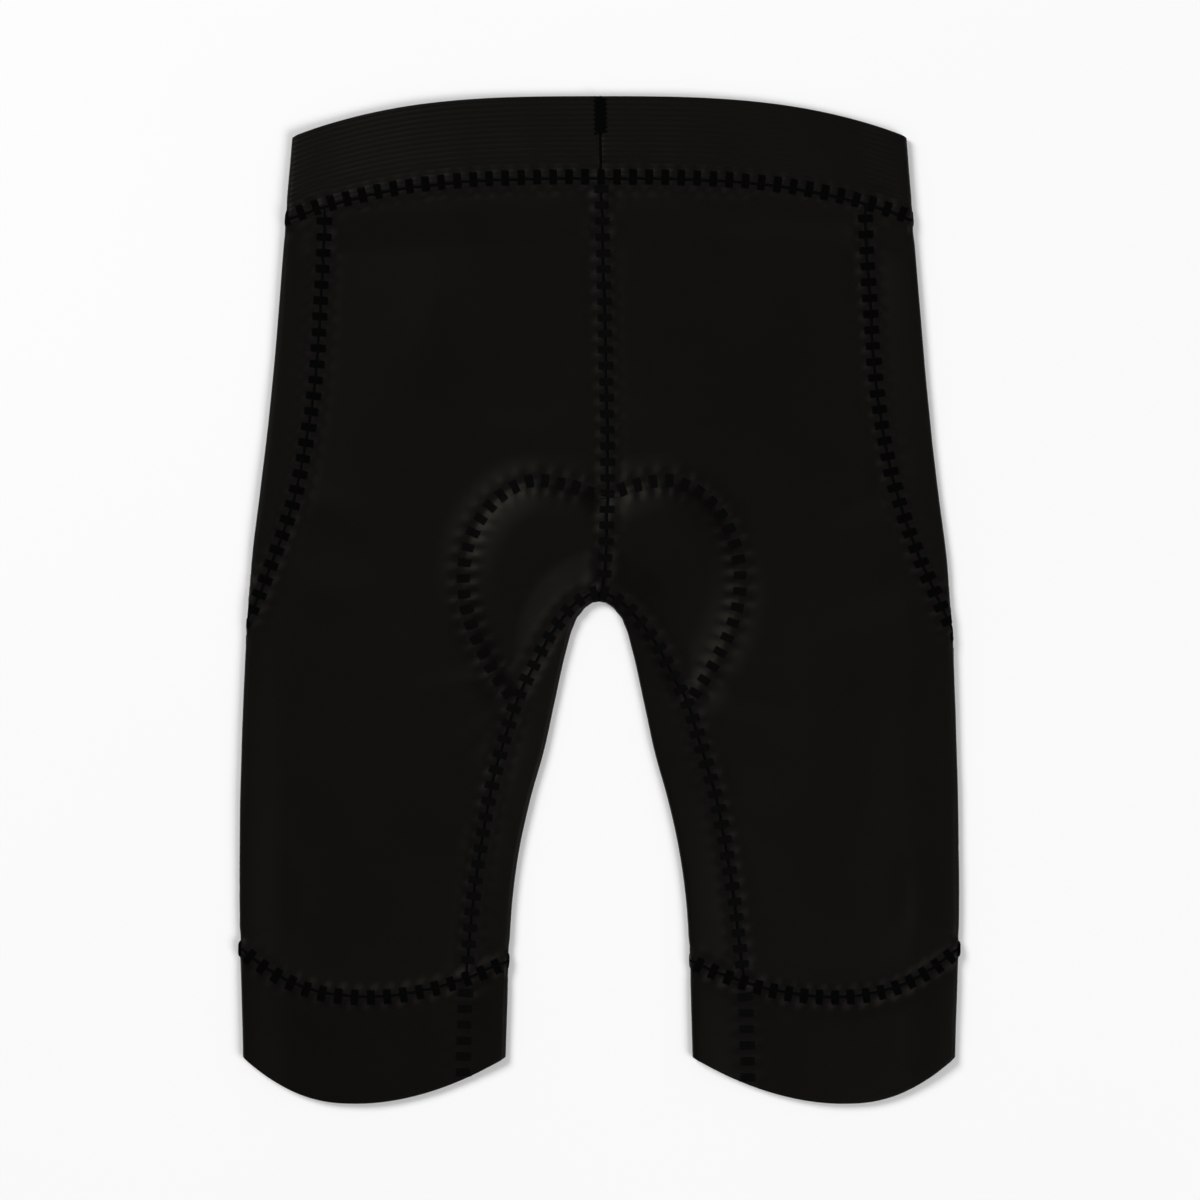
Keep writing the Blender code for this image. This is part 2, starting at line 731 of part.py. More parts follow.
def seat_pad(finish):
    """The pad between the layers: a horseshoe with two round lobes, thickest in the middle, folded at the crotch.

    It is too stiff to fill a narrow ridge, so its top lies under the lowest of the cloth close by.
    """
    outer_arc = running_length(PAD_OUTER)
    inner_line = FOLD_LINE + PAD_CLEAR_OF_FOLD * FOLD_INWARD
    rows = []
    for share in np.linspace(0, 1, PAD_ROWS):
        near = on_line(inner_line, FOLD_ARC, PAD_TIP_ARC * share**2)
        far = on_line(PAD_OUTER, outer_arc, outer_arc[-1] * share)
        across = np.linspace(0, 1, PAD_COLUMNS)[:, None]
        rows.append(near + (far - near) * across)
    half = np.array(rows)
    left = half[:0:-1] * (-1, 1)
    plan = np.concatenate([left, half]) + (PAD_MIDDLE_X, 0)
    x, y = plan[..., 0], plan[..., 1]
    around = [(0, 0), (PAD_STIFF, 0), (-PAD_STIFF, 0), (0, PAD_STIFF), (0, -PAD_STIFF)]
    lowest = np.min([height(x + east, y + north, "back") for east, north in around], axis=0)
    under_back = lowest - PANEL_WALL - PAD_GAP
    bottom = np.full_like(x, PANEL_WALL + LAYER_GAP)
    top = np.stack([x, y, under_back], axis=-1)
    two_faced("seat_pad", top, np.stack([x, y, bottom], axis=-1), finish)


def main():
    for leftover in list(bpy.data.objects):
        bpy.data.objects.remove(leftover, do_unlink=True)
    knit = material("black_knit", (0.0052, 0.0048, 0.0040), 0.6)
    elastic = material("black_elastic", (0.0048, 0.0045, 0.0038), 0.55)
    foam = material("black_foam", (0.010, 0.010, 0.010), 0.8)
    waistband(elastic)
    for side in ("left", "right"):
        panel(f"back_{side}", side, "back", BACK_COLUMNS, knit)
        panel(f"front_{side}", side, "front", FRONT_COLUMNS, knit)
        strip(f"inner_leg_{side}", side, knit)
        leg_band(f"leg_band_{side}", side, elastic)
    seat_pad(foam)


main()
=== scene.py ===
# %% [markdown]
# # Triathlon shorts, laid flat with the back upwards
#
# These shorts are ten pieces of stretch knit, sewn edge to edge with flat seams. They lie on their front,
# so what shows is the back: a waistband, two back panels with a pad stitched under them, the edges of the
# front panels that come round the hips, a strip inside each leg and a band round each hem.
#
# The frame already holds each piece as a plain solid in its true place. Here each one gets its own cloth,
# fine enough to dimple at a stitch. The frame's box is kept, to be compared with the finished cloth at
# the end.

# %% Load the frame
from functools import partial

import bpy
import numpy as np
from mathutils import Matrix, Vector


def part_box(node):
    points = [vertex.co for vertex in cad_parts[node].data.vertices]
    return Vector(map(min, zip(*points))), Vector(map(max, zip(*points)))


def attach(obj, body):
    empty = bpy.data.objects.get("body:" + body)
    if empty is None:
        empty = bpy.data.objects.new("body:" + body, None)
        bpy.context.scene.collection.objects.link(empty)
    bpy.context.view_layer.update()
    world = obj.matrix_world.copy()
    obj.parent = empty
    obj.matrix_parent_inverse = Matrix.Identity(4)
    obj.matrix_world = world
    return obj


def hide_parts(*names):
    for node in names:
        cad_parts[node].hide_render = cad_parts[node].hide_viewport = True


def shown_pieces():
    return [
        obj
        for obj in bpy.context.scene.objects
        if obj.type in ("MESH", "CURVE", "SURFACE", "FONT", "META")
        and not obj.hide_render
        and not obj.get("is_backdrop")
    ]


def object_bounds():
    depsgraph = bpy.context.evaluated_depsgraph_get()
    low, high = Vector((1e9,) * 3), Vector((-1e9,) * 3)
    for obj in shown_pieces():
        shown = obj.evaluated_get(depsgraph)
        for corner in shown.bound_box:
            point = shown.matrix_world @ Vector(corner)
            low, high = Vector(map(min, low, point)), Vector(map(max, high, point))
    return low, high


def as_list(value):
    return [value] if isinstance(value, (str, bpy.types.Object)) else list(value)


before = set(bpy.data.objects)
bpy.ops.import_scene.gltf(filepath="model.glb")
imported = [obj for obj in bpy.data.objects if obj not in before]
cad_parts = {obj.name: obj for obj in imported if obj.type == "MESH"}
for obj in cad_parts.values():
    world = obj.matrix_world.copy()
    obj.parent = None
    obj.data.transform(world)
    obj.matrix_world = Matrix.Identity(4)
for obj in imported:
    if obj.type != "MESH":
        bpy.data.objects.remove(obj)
cad_low, cad_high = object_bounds()
print("frame:", len(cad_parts), "pieces,", [round(c * 1000, 1) for c in cad_high - cad_low], "mm")

# %% [markdown]
# ## The garment's sizes
#
# A garment is drafted in millimetres, so these tables are too, and MM turns them into metres when a mesh
# is made. The waist's height and the lowest point of the hem are read from the frame. The rest are the
# pattern's own curves. They are the same ones that the solids were built on, but for the first 28 mm of the
# strips inside the legs, which here reach a little higher at the crotch. The middle of the garment is x = 0
# and the waist points to +Y.

# %% Cloth, seams and folds
MM = 0.001

WAIST_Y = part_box("waistband")[1].y / MM
HEM_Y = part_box("leg_band_left")[0].y / MM
WAIST_CORNER_Y = 231.6
WAISTBAND_SEAM_Y = 210.5
WAISTBAND_SEAM_CORNER_Y = 189.5
FRONT_WAIST_DIP = 14.0
LEG_SEAM_OUTER_Y = -174.0
LEG_SEAM_INNER_Y = -180.0
LEG_SEAM_DROP = 21.6
HEM_CORNER_Y = -229.0
HEM_DROP = HEM_CORNER_Y - HEM_Y
CROTCH_Y = -1.0
CROTCH_ROW_OUTER_Y = -6.0
STRIP_POINT = 4.6

# The solids' walls set how high the layers lie; the knit shown is a little thinner than its solid
SOLID_WALL = {"panel": 1.2, "waistband": 2.0, "leg_band": 1.6}
CLOTH_WALL = {"panel": 0.9, "waistband": 1.8, "leg_band": 1.4}
SEAM_GAP = 0.3
LAYER_GAP = 0.4

WAIST_FOLD_RADIUS = 2.7
BODY_FOLD_RADIUS = 2.3
LEG_FOLD_RADIUS = 2.4
FOLD_ROLL = 22.0
WAIST_SLOPE = 20.0
LEG_SLOPE = 15.0

PAD_MIDDLE_X = 1.25
PAD_LIFT = 5.1
PAD_EDGE = 3.0
PAD_CLEAR_OF_FOLD = 6.0
PAD_RISE_OUTSIDE = 14.0
PAD_RISE = 36.0
PAD_RISE_AT_FOLD = 27.0
PAD_TIP_ARC = 51.0

FOLD_LINE_POINTS = 320
PAD_LINE_POINTS = 60

# %% Curves of the pattern
def table(columns, *rows):
    """A table whose columns are read by name."""
    return {name: np.array(values, float) for name, values in zip(columns.split(), zip(*rows))}


OUTER_FOLD = table(
    "y x",
    (-252, 178.0),
    (-229, 178.2),
    (-160, 180.0),
    (-100, 179.5),
    (-50, 178.0),
    (0, 175.5),
    (25, 173.4),
    (50, 170.2),
    (100, 164.5),
    (150, 160.0),
    (232, 153.6),
    (252, 152.0),
)
INNER_FOLD = table(
    "x y",
    (0, CROTCH_Y),
    (5, -3),
    (9.5, -7),
    (13.5, -15),
    (16.4, -25),
    (22, -50),
    (27.5, -75),
    (34.5, -100),
    (40, -125),
    (43.4, -150),
    (45, -175),
    (46, -205),
    (46.8, -232),
)
# How wide the strip inside the leg shows on each side of its fold, by the distance down the fold from the
# crotch
STRIP_WIDTH = table(
    "arc left right",
    (0, STRIP_POINT, STRIP_POINT),
    (8, 5.1, 4.9),
    (17, 6.8, 7.1),
    (28, 10.4, 11.6),
    (39, 13.3, 14.9),
    (50, 16.4, 17.7),
    (61, 18.7, 20.9),
    (82, 20.7, 22.9),
    (104, 20.3, 23.3),
    (142, 19.2, 23.3),
    (175, 20.1, 24.8),
    (210, 21.3, 27.6),
)
# The side seam's distance round the outer fold: to the back if positive, and to the front from just below
# the crotch down
SIDE_SEAM = table(
    "y left right",
    (-180, -15.0, -13.0),
    (-120, -13.0, -11.5),
    (-60, -8.5, -7.5),
    (-20, -2.5, -0.5),
    (0, 5.7, 7.5),
    (20, 12.5, 15.2),
    (50, 19.5, 22.6),
    (75, 21.8, 25.8),
    (100, 23.3, 26.9),
    (150, 22.3, 26.4),
    (195, 21.2, 25.6),
)
CENTRE_SEAM = table(
    "y drift",
    (1, 0.3),
    (10, 2.1),
    (20, 2.9),
    (45, 4.0),
    (80, 4.1),
    (130, 3.0),
    (180, 1.8),
    (215, 0.8),
    (252, 0.5),
)
LEG_CURVE = table(
    "across drop",
    (0, 0),
    (0.1, 0.44),
    (0.2, 0.76),
    (0.3, 0.94),
    (0.42, 1),
    (0.55, 0.95),
    (0.7, 0.76),
    (0.85, 0.44),
    (1, 0),
)
PAD_STITCHES = table(
    "x y",
    (0, 51.5),
    (18, 57.5),
    (35, 59.6),
    (50, 52.5),
    (61, 40),
    (68, 22),
    (69, 5),
    (65, -13),
    (56.5, -31),
    (43.5, -51),
)

# %% [markdown]
# ## Reading the curves
#
# A cubic through the points of a table gives a curve as smooth as a drafting ruler's. The helpers after
# it measure along a line, find its left side and read it at a distance along it. The inside edge of a leg
# is the one line that several pieces share, so it is made once, with its mirror image's first point in
# front to keep the crotch level.

# %% Helpers for lines
def smooth(at, xs, ys):
    slopes = np.gradient(ys, xs)
    i = np.clip(np.searchsorted(xs, at, side="right") - 1, 0, len(xs) - 2)
    span = xs[i + 1] - xs[i]
    t = np.clip((at - xs[i]) / span, 0, 1)
    start = (1 + 2 * t) * (1 - t) ** 2 * ys[i] + t * (1 - t) ** 2 * span * slopes[i]
    end = t**2 * (3 - 2 * t) * ys[i + 1] - t**2 * (1 - t) * span * slopes[i + 1]
    return start + end


def ease(share):
    """From 0 to 1 with level ends."""
    share = np.clip(share, 0, 1)
    return share**2 * (3 - 2 * share)


def running_length(line):
    steps = np.linalg.norm(np.diff(line, axis=0), axis=1)
    return np.concatenate([[0], np.cumsum(steps)])


def smooth_line(x, y, count, first=0):
    chord = running_length(np.stack([x, y], axis=1))
    at = np.linspace(chord[first], chord[-1], count)
    return np.stack([smooth(at, chord, x), smooth(at, chord, y)], axis=1)


def left_of(line):
    along = np.gradient(line, axis=0)
    along /= np.linalg.norm(along, axis=1)[:, None]
    return np.stack([-along[:, 1], along[:, 0]], axis=1)


def on_line(line, arc, at):
    return np.stack([np.interp(at, arc, column) for column in line.T], axis=-1)


def mirrored_start(values, sign):
    return np.concatenate([[sign * values[1]], values])


FOLD_LINE = smooth_line(
    mirrored_start(INNER_FOLD["x"], -1),
    mirrored_start(INNER_FOLD["y"], 1),
    FOLD_LINE_POINTS,
    first=1,
)
FOLD_ARC = running_length(FOLD_LINE)
FOLD_INWARD = left_of(FOLD_LINE)
print("inside of the leg:", round(FOLD_ARC[-1]), "mm along its fold")

# %% Where the seams and edges run
def outer_x(y):
    return smooth(y, OUTER_FOLD["y"], OUTER_FOLD["x"])


def inner_x(y):
    return np.interp(-y, -FOLD_LINE[:, 1], FOLD_LINE[:, 0])


def inner_seam(side, shift=0.0):
    """The inner-leg seam of one leg, moved outwards by shift. It leaves the crotch level and never rises."""
    width = smooth(FOLD_ARC, STRIP_WIDTH["arc"], STRIP_WIDTH[side]) + shift
    line = FOLD_LINE + FOLD_INWARD * width[:, None]
    line[:, 1] = np.minimum.accumulate(line[:, 1])
    return line


def curve_across(share, corner_y, middle_y):
    """The waist's curves: share is the distance from the middle, 0 there and 1 at the outer fold."""
    return corner_y + (middle_y - corner_y) * (1 - np.clip(share, 0, 1) ** 3)


def waistband_seam_y(share, layer):
    dip = FRONT_WAIST_DIP if layer == "front" else 0
    return curve_across(share, WAISTBAND_SEAM_CORNER_Y, WAISTBAND_SEAM_Y - dip)


def waist_y(share, layer):
    dip = FRONT_WAIST_DIP if layer == "front" else 0
    return curve_across(share, WAIST_CORNER_Y, WAIST_Y - dip)


def leg_drop(across):
    return smooth(across, LEG_CURVE["across"], LEG_CURVE["drop"])


def leg_seam_y(across):
    straight = LEG_SEAM_OUTER_Y + (LEG_SEAM_INNER_Y - LEG_SEAM_OUTER_Y) * across
    return straight - LEG_SEAM_DROP * leg_drop(across)


def hem_y(across):
    return HEM_CORNER_Y - HEM_DROP * leg_drop(across)


LEG_OUTER_X = float(outer_x(LEG_SEAM_OUTER_Y))
LEG_INNER_X = float(inner_x(LEG_SEAM_INNER_Y))


def across_leg(x):
    """Where a distance from the middle lies across the leg at its band, 0 outside and 1 inside."""
    return np.clip((LEG_OUTER_X - x) / (LEG_OUTER_X - LEG_INNER_X), 0, 1)


def seam_foot(line, lift=0.0):
    """Where a line down the leg meets the leg-band seam, raised by lift: its arc along the fold, x and y."""
    above = line[:, 1] - leg_seam_y(across_leg(line[:, 0])) - lift
    arc = np.interp(0, -above, FOLD_ARC)
    return float(arc), *on_line(line, FOLD_ARC, arc)


def sign_of(side):
    return -1 if side == "left" else 1


def centre_drift(y):
    """How far the centre seam of the back wanders from the middle."""
    return smooth(y, CENTRE_SEAM["y"], CENTRE_SEAM["drift"])


# %% [markdown]
# ## The skin
#
# All the outer faces lie on one skin. The front's underside is flat on the table, the back's top lies two
# walls and a little air above it, and a half-round fold joins them along the outer sides and the inside
# of the legs. The skin rises softly where the pad lies between the layers. Height is a function of place,
# so it can be read as finely as a piece needs, and neighbouring pieces always agree on it at their seam.

# %% Distances and the pad's outline
AT_A_TIME = 4000


def distance_to_line(points, line):
    """Each point's distance to the nearest stretch of a line, some thousands of points at a time."""
    start = line[:-1]
    along = np.diff(line, axis=0)
    squared = (along**2).sum(axis=1)
    found = np.empty(len(points))
    for first in range(0, len(points), AT_A_TIME):
        some = slice(first, first + AT_A_TIME)
        away = points[some, None, :] - start
        t = np.clip(np.einsum("pij,ij->pi", away, along) / squared, 0, 1)
        found[some] = np.linalg.norm(away - t[:, :, None] * along, axis=2).min(axis=1)
    return found


def inside(points, outline):
    """Whether each point is inside a closed outline, by counting the edges to its right."""
    end = np.roll(outline, -1, axis=0)
    crossings = np.zeros(len(points), int)
    for (x0, y0), (x1, y1) in zip(outline, end):
        if y0 != y1:
            spans = (y0 > points[:, 1]) != (y1 > points[:, 1])
            crossings += spans & (points[:, 0] < x0 + (points[:, 1] - y0) * (x1 - x0) / (y1 - y0))
    return crossings % 2 == 1


PAD_STITCH_LINE = smooth_line(PAD_STITCHES["x"], PAD_STITCHES["y"], PAD_LINE_POINTS)
PAD_OUTER = PAD_STITCH_LINE + PAD_EDGE * left_of(PAD_STITCH_LINE)
PAD_OUTER[:, 0] = np.maximum(PAD_OUTER[:, 0], 0)
PAD_TIP = on_line(FOLD_LINE, FOLD_ARC, PAD_TIP_ARC)
PAD_SIDE = np.concatenate([PAD_OUTER, [PAD_TIP]])
PAD_HALF = np.concatenate([PAD_SIDE, FOLD_LINE[FOLD_ARC < PAD_TIP_ARC][::-1], [[0, CROTCH_Y]]])
PAD_BOX = (PAD_HALF.min(axis=0) - PAD_RISE_OUTSIDE, PAD_HALF.max(axis=0) + PAD_RISE_OUTSIDE)


def pad_share(x, y):
    """How far the back layer is lifted by the pad, from 0 beside it to 1 over its middle."""
    points = np.stack([np.abs(x - PAD_MIDDLE_X), y], axis=1)
    near = ((points > PAD_BOX[0]) & (points < PAD_BOX[1])).all(axis=1)
    within = np.full(len(points), -PAD_RISE_OUTSIDE)
    side = np.where(inside(points[near], PAD_HALF), 1, -1)
    within[near] = distance_to_line(points[near], PAD_SIDE) * side
    return ease((within + PAD_RISE_OUTSIDE) / PAD_RISE)


# %% Height of the skin
FOLD_REACH = 60.0


def fold_radius(y):
    waist = ease((y - WAISTBAND_SEAM_CORNER_Y + FOLD_ROLL) / FOLD_ROLL)
    leg = ease((LEG_SEAM_OUTER_Y + LEG_SLOPE - y) / LEG_SLOPE)
    extra = (WAIST_FOLD_RADIUS - BODY_FOLD_RADIUS) * waist + (LEG_FOLD_RADIUS - BODY_FOLD_RADIUS) * leg
    return BODY_FOLD_RADIUS + extra


def fold_distance(x, y):
    """Distance in from the nearest folded edge of the garment."""
    away = np.abs(x)
    distance = outer_x(y) - away
    near = (y < CROTCH_Y + FOLD_REACH) & (away < INNER_FOLD["x"][-1] + FOLD_REACH)
    inner = distance_to_line(np.stack([away[near], y[near]], axis=1), FOLD_LINE)
    distance[near] = np.minimum(distance[near], inner)
    return np.maximum(distance, 0)


def height(x, y, layer):
    """Height of the skin: the top of the back layer, or the underside of the front one."""
    radius = fold_radius(y)
    distance = fold_distance(x, y)
    lift = np.sqrt(np.maximum(radius**2 - np.maximum(radius - distance, 0) ** 2, 0))
    if layer == "front":
        return radius - lift
    seam = waistband_seam_y(np.abs(x) / outer_x(y), "front")
    waist = ease((y - seam + WAIST_SLOPE) / WAIST_SLOPE)
    leg = ease((leg_seam_y(across_leg(np.abs(x))) + LEG_SLOPE - y) / LEG_SLOPE)
    panel = SOLID_WALL["panel"]
    wall = panel + (SOLID_WALL["waistband"] - panel) * waist + (SOLID_WALL["leg_band"] - panel) * leg
    flat = 2 * wall + LAYER_GAP
    beyond = np.maximum(distance - radius, 0)
    roll = (2 * radius - flat) * (1 - ease(beyond / FOLD_ROLL))
    pad = PAD_LIFT * pad_share(x, y) * ease(beyond / PAD_RISE_AT_FOLD)
    return np.where(distance < radius, radius + lift, flat + roll + pad)


def lay(x, y, s, radius, inward):
    """The skin's points at plan places x, y, and the way each faces.

    s is the distance round the cloth from the folded edge, to the back if positive, and inward is the plan
    direction from that edge into the garment.
    """
    x, y, s, radius, inward_x, inward_y = (
        np.array(values, float) for values in np.broadcast_arrays(x, y, s, radius, *inward)
    )
    angle = np.clip(s / radius, -np.pi / 2, np.pi / 2)
    z = radius * (1 + np.sin(angle))
    for layer, beyond in (("back", angle >= np.pi / 2), ("front", angle <= -np.pi / 2)):
        z[beyond] = height(x[beyond], y[beyond], layer)
    facing = np.stack([-inward_x * np.cos(angle), -inward_y * np.cos(angle), np.sin(angle)], axis=-1)
    return np.stack([x, y, z], axis=-1), facing


def inward_of(s, radius):
    """Plan distance from the fold's edge of a point s round the cloth from it."""
    quarter = np.pi / 2 * radius
    on_fold = radius * (1 - np.cos(np.minimum(np.abs(s), quarter) / radius))
    return on_fold + np.maximum(np.abs(s) - quarter, 0)


def round_of(inward, radius):
    """Distance round the cloth from the fold's edge of a point that lies inward of it."""
    on_fold = radius * np.arccos(1 - np.minimum(inward, radius) / radius)
    return on_fold + np.maximum(inward - radius, 0)


print("skin over the pad:", round(float(height(np.array([40.0]), np.array([20.0]), "back")[0]), 1), "mm high")

# %% [markdown]
# ## Grids
#
# Each piece is a grid of points on the skin. The stations are about 1.6 mm apart, closer together round a
# fold and closest beside a cut edge, where the knit rolls over into a round lip. These helpers only
# choose the stations, so the same ones serve panels, strips and bands.

# %% Stations
CLOTH_STEP = 1.6
FOLD_STEP = 0.5
LIP = 1 - np.cos(np.radians([0, 22.5, 45, 67.5]))


def spread(start, end, count, radius):
    """count stations from start to end, close together where they go round the fold at 0."""
    fold = np.pi / 2 * radius
    fine = np.linspace(start, end, 400)
    weight = fine / CLOTH_STEP + np.clip(fine, -fold, fold) * (1 / FOLD_STEP - 1 / CLOTH_STEP)
    weight = np.abs(weight - weight[0])
    return np.interp(np.linspace(0, weight[-1], count), weight, fine)


def evenly(start, end, step):
    return np.linspace(start, end, 1 + max(1, round(abs(end - start) / step)))


def with_lips(start, end, wall, middle):
    """Stations with a round lip at both ends; middle(a, b) gives those between the lips."""
    way = np.sign(end - start) * wall / 2
    return np.concatenate([start + way * LIP, middle(start + way, end - way), end - way * LIP[::-1]])

# %% [markdown]
# ## Front and back panels
#
# A leg is a tube: its front and back panels share every row, which runs from the outer fold to the
# middle. Above the crotch a row ends at the centre seam and below it at the inner-leg seam. The side seam
# wanders round the outer fold, so each panel starts wherever that seam is and goes round the fold if it
# has to. Just under the crotch the rows get shorter quickly. There only the stations near the end draw
# together, so the rest of the grid stays even.

# %% Rows of the panels
def row_y(across, down, layer):
    """A row's height on the garment; across is 0 in the middle and 1 at the outer fold.

    down is 0 at the waistband seam, 1 at the crotch and 2 at the leg-band seam.
    """
    crotch = CROTCH_Y + STRIP_POINT + SEAM_GAP / 2
    middle = crotch + (CROTCH_ROW_OUTER_Y - crotch) * across
    top = waistband_seam_y(across, layer) - SEAM_GAP / 2
    bottom = leg_seam_y(across_leg(across * LEG_OUTER_X)) + SEAM_GAP / 2
    return np.where(down < 1, top + (middle - top) * down, middle + (bottom - middle) * (down - 1))


def row_end_x(side, down, layer):
    """Where a row ends: at the centre seam, or at the inner-leg seam below the crotch."""
    if down <= 1:
        drift = centre_drift(row_y(0.0, down, layer)) if layer == "back" else 0
        return float(sign_of(side) * drift + SEAM_GAP / 2)
    seam = inner_seam(side, SEAM_GAP / 2)
    above = seam[:, 1] - row_y(seam[:, 0] / outer_x(row_y(1.0, down, layer)), down, layer)
    return float(np.interp(0, -np.minimum.accumulate(above), seam[:, 0]))


CROTCH_STEPS = (0.25, 0.35, 0.5, 0.7, 0.9, 1.1, 1.3, 1.5)


def panel_rows(side):
    """The rows down a leg, closer together just under the crotch, where the panel's edge turns."""
    lip = CLOTH_WALL["panel"] / 2
    top, crotch = (float(row_y(0.0, down, "back")) for down in (0, 1))
    upper = np.concatenate([top - lip * LIP, evenly(top - lip, crotch, CLOTH_STEP)])
    seam = inner_seam(side, SEAM_GAP / 2)
    middle, bottom = (row_y(seam[:, 0] / outer_x(seam[:, 1]), down, "back") for down in (1, 2))
    down_seam = 1 + (middle - seam[:, 1]) / (middle - bottom)
    foot = float(np.interp(2, down_seam, seam[:, 1]))
    turn = crotch - np.cumsum(CROTCH_STEPS)
    lower = np.concatenate([turn, evenly(turn[-1], foot + lip, CLOTH_STEP)[1:], foot + lip * LIP[::-1]])
    lower_rows = np.interp(-lower, -seam[:, 1], down_seam)
    lower_rows[-1] = 2
    return np.concatenate([(top - upper) / (top - crotch), lower_rows])


# %% Stations along a row
PANEL_COLUMNS = 92
EVEN_END = 30.0


def drawn_in(start, end, full, count, radius):
    """Stations of a row that would reach full, drawn together near its end so that it stops at end."""
    short = abs(full - end)
    at = spread(start, full, count, radius)
    zone = min(EVEN_END + 2.5 * short, abs(full - start))
    share = np.clip(1 - np.abs(full - at) / zone, 0, 1)
    return at - np.sign(full - start) * short * share


def panel_points(s, down):
    """The right leg's skin at distances s round the cloth from the outer fold, on the rows given by down."""
    edge_y = row_y(1.0, down, "back")
    radius = fold_radius(edge_y)
    edge_x = outer_x(edge_y)
    inward = inward_of(s, radius)
    across = 1 - inward / edge_x
    y = np.where(s >= 0, row_y(across, down, "back"), row_y(across, down, "front"))
    return edge_x - inward, y, radius, np.stack([edge_x - s, y], axis=-1)


def laid_panel(side, s, down):
    x, y, radius, cloth = panel_points(s, down)
    sign = sign_of(side)
    points, facing = lay(sign * x, y, s, radius, (-sign, 0))
    return points, facing, cloth


def side_seam_s(side, edge_y):
    return smooth(edge_y, SIDE_SEAM["y"], SIDE_SEAM[side])


def panel_grid(side, layer, columns):
    rows = panel_rows(side)
    way = 1 if layer == "back" else -1
    stations = []
    for down in rows:
        edge_y = float(row_y(1.0, down, "back"))
        radius = float(fold_radius(edge_y))
        edge_x = float(outer_x(edge_y))
        end_x = row_end_x(side, down, layer)
        end, full = (way * float(round_of(edge_x - x, radius)) for x in (end_x, min(end_x, SEAM_GAP / 2)))
        start = float(side_seam_s(side, edge_y)) + way * SEAM_GAP / 2
        short = full - end
        stations.append(with_lips(
            start, end, CLOTH_WALL["panel"], lambda a, b: drawn_in(a, b, b + short, columns, radius)
        ))
    return laid_panel(side, np.array(stations), rows[:, None])


# %% [markdown]
# ## Strips inside the legs
#
# The strip is folded in half round the inside of the leg. It starts narrow at the crotch, widens quickly
# over its first 60 mm and slowly after that, and ends at the leg-band seam, so its last rows slant to meet
# that seam.

# %% Strips
STRIP_COLUMNS = 44
STRIP_SLANT = 60.0


def strip_grid(side):
    sign = sign_of(side)
    wall = CLOTH_WALL["panel"]
    seam = inner_seam(side, -SEAM_GAP / 2)
    seam_end = seam_foot(seam, SEAM_GAP / 2)[0]
    fold_end = seam_foot(FOLD_LINE, SEAM_GAP / 2)[0]
    start = float(np.interp(SEAM_GAP / 2, FOLD_LINE[:, 0], FOLD_ARC))
    arcs = with_lips(start, fold_end, wall, lambda a, b: evenly(a, b, CLOTH_STEP))
    rows = []
    for arc in arcs:
        slant = float(ease((arc - fold_end + STRIP_SLANT) / STRIP_SLANT))
        edge = on_line(FOLD_LINE, FOLD_ARC, arc)
        corner = on_line(seam, FOLD_ARC, arc + slant * (seam_end - fold_end))
        width = float(np.hypot(*(corner - edge)))
        inward = (corner - edge) / width
        radius = float(fold_radius(edge[1]))
        reach = float(round_of(width, radius))
        s = with_lips(-reach, reach, min(wall, reach), lambda a, b: spread(a, b, STRIP_COLUMNS, radius))
        across = inward_of(s, radius)
        x = edge[0] + inward[0] * across
        straight = leg_seam_y(across_leg(edge[0])) * (1 - across / width)
        straight = straight + leg_seam_y(across_leg(corner[0])) * across / width
        y = edge[1] + inward[1] * across + slant * (leg_seam_y(across_leg(x)) - straight)
        rows.append((x, y, s, np.full_like(s, radius)))
    x, y, s, radius = (np.array(values) for values in zip(*rows))
    square = on_line(FOLD_INWARD, FOLD_ARC, arcs)[:, None, :]
    points, facing = lay(sign * x, y, s, radius, (sign * square[..., 0], square[..., 1]))
    return points, facing, np.stack(np.broadcast_arrays(s, arcs[:, None]), axis=-1)


# %% [markdown]
# ## Bands
#
# A band goes all the way round: along the back, round one fold, along the front and round the other fold.
# The waistband's ends meet at the centre back. A leg band's ends meet in line with the inner-leg seam and
# are sewn so flat that its ring is closed here.

# %% Waistband and leg bands
FOLD_POINTS = 17
LEG_BAND_JOIN_ACROSS = 0.85


def band_counts(folds, join):
    """How many stations a band has along its front, and how many of them lie past its join on the back."""
    long = 1 + round(abs(folds[1] - folds[0]) / CLOTH_STEP)
    return long, max(3, round(long * (1 - join)))


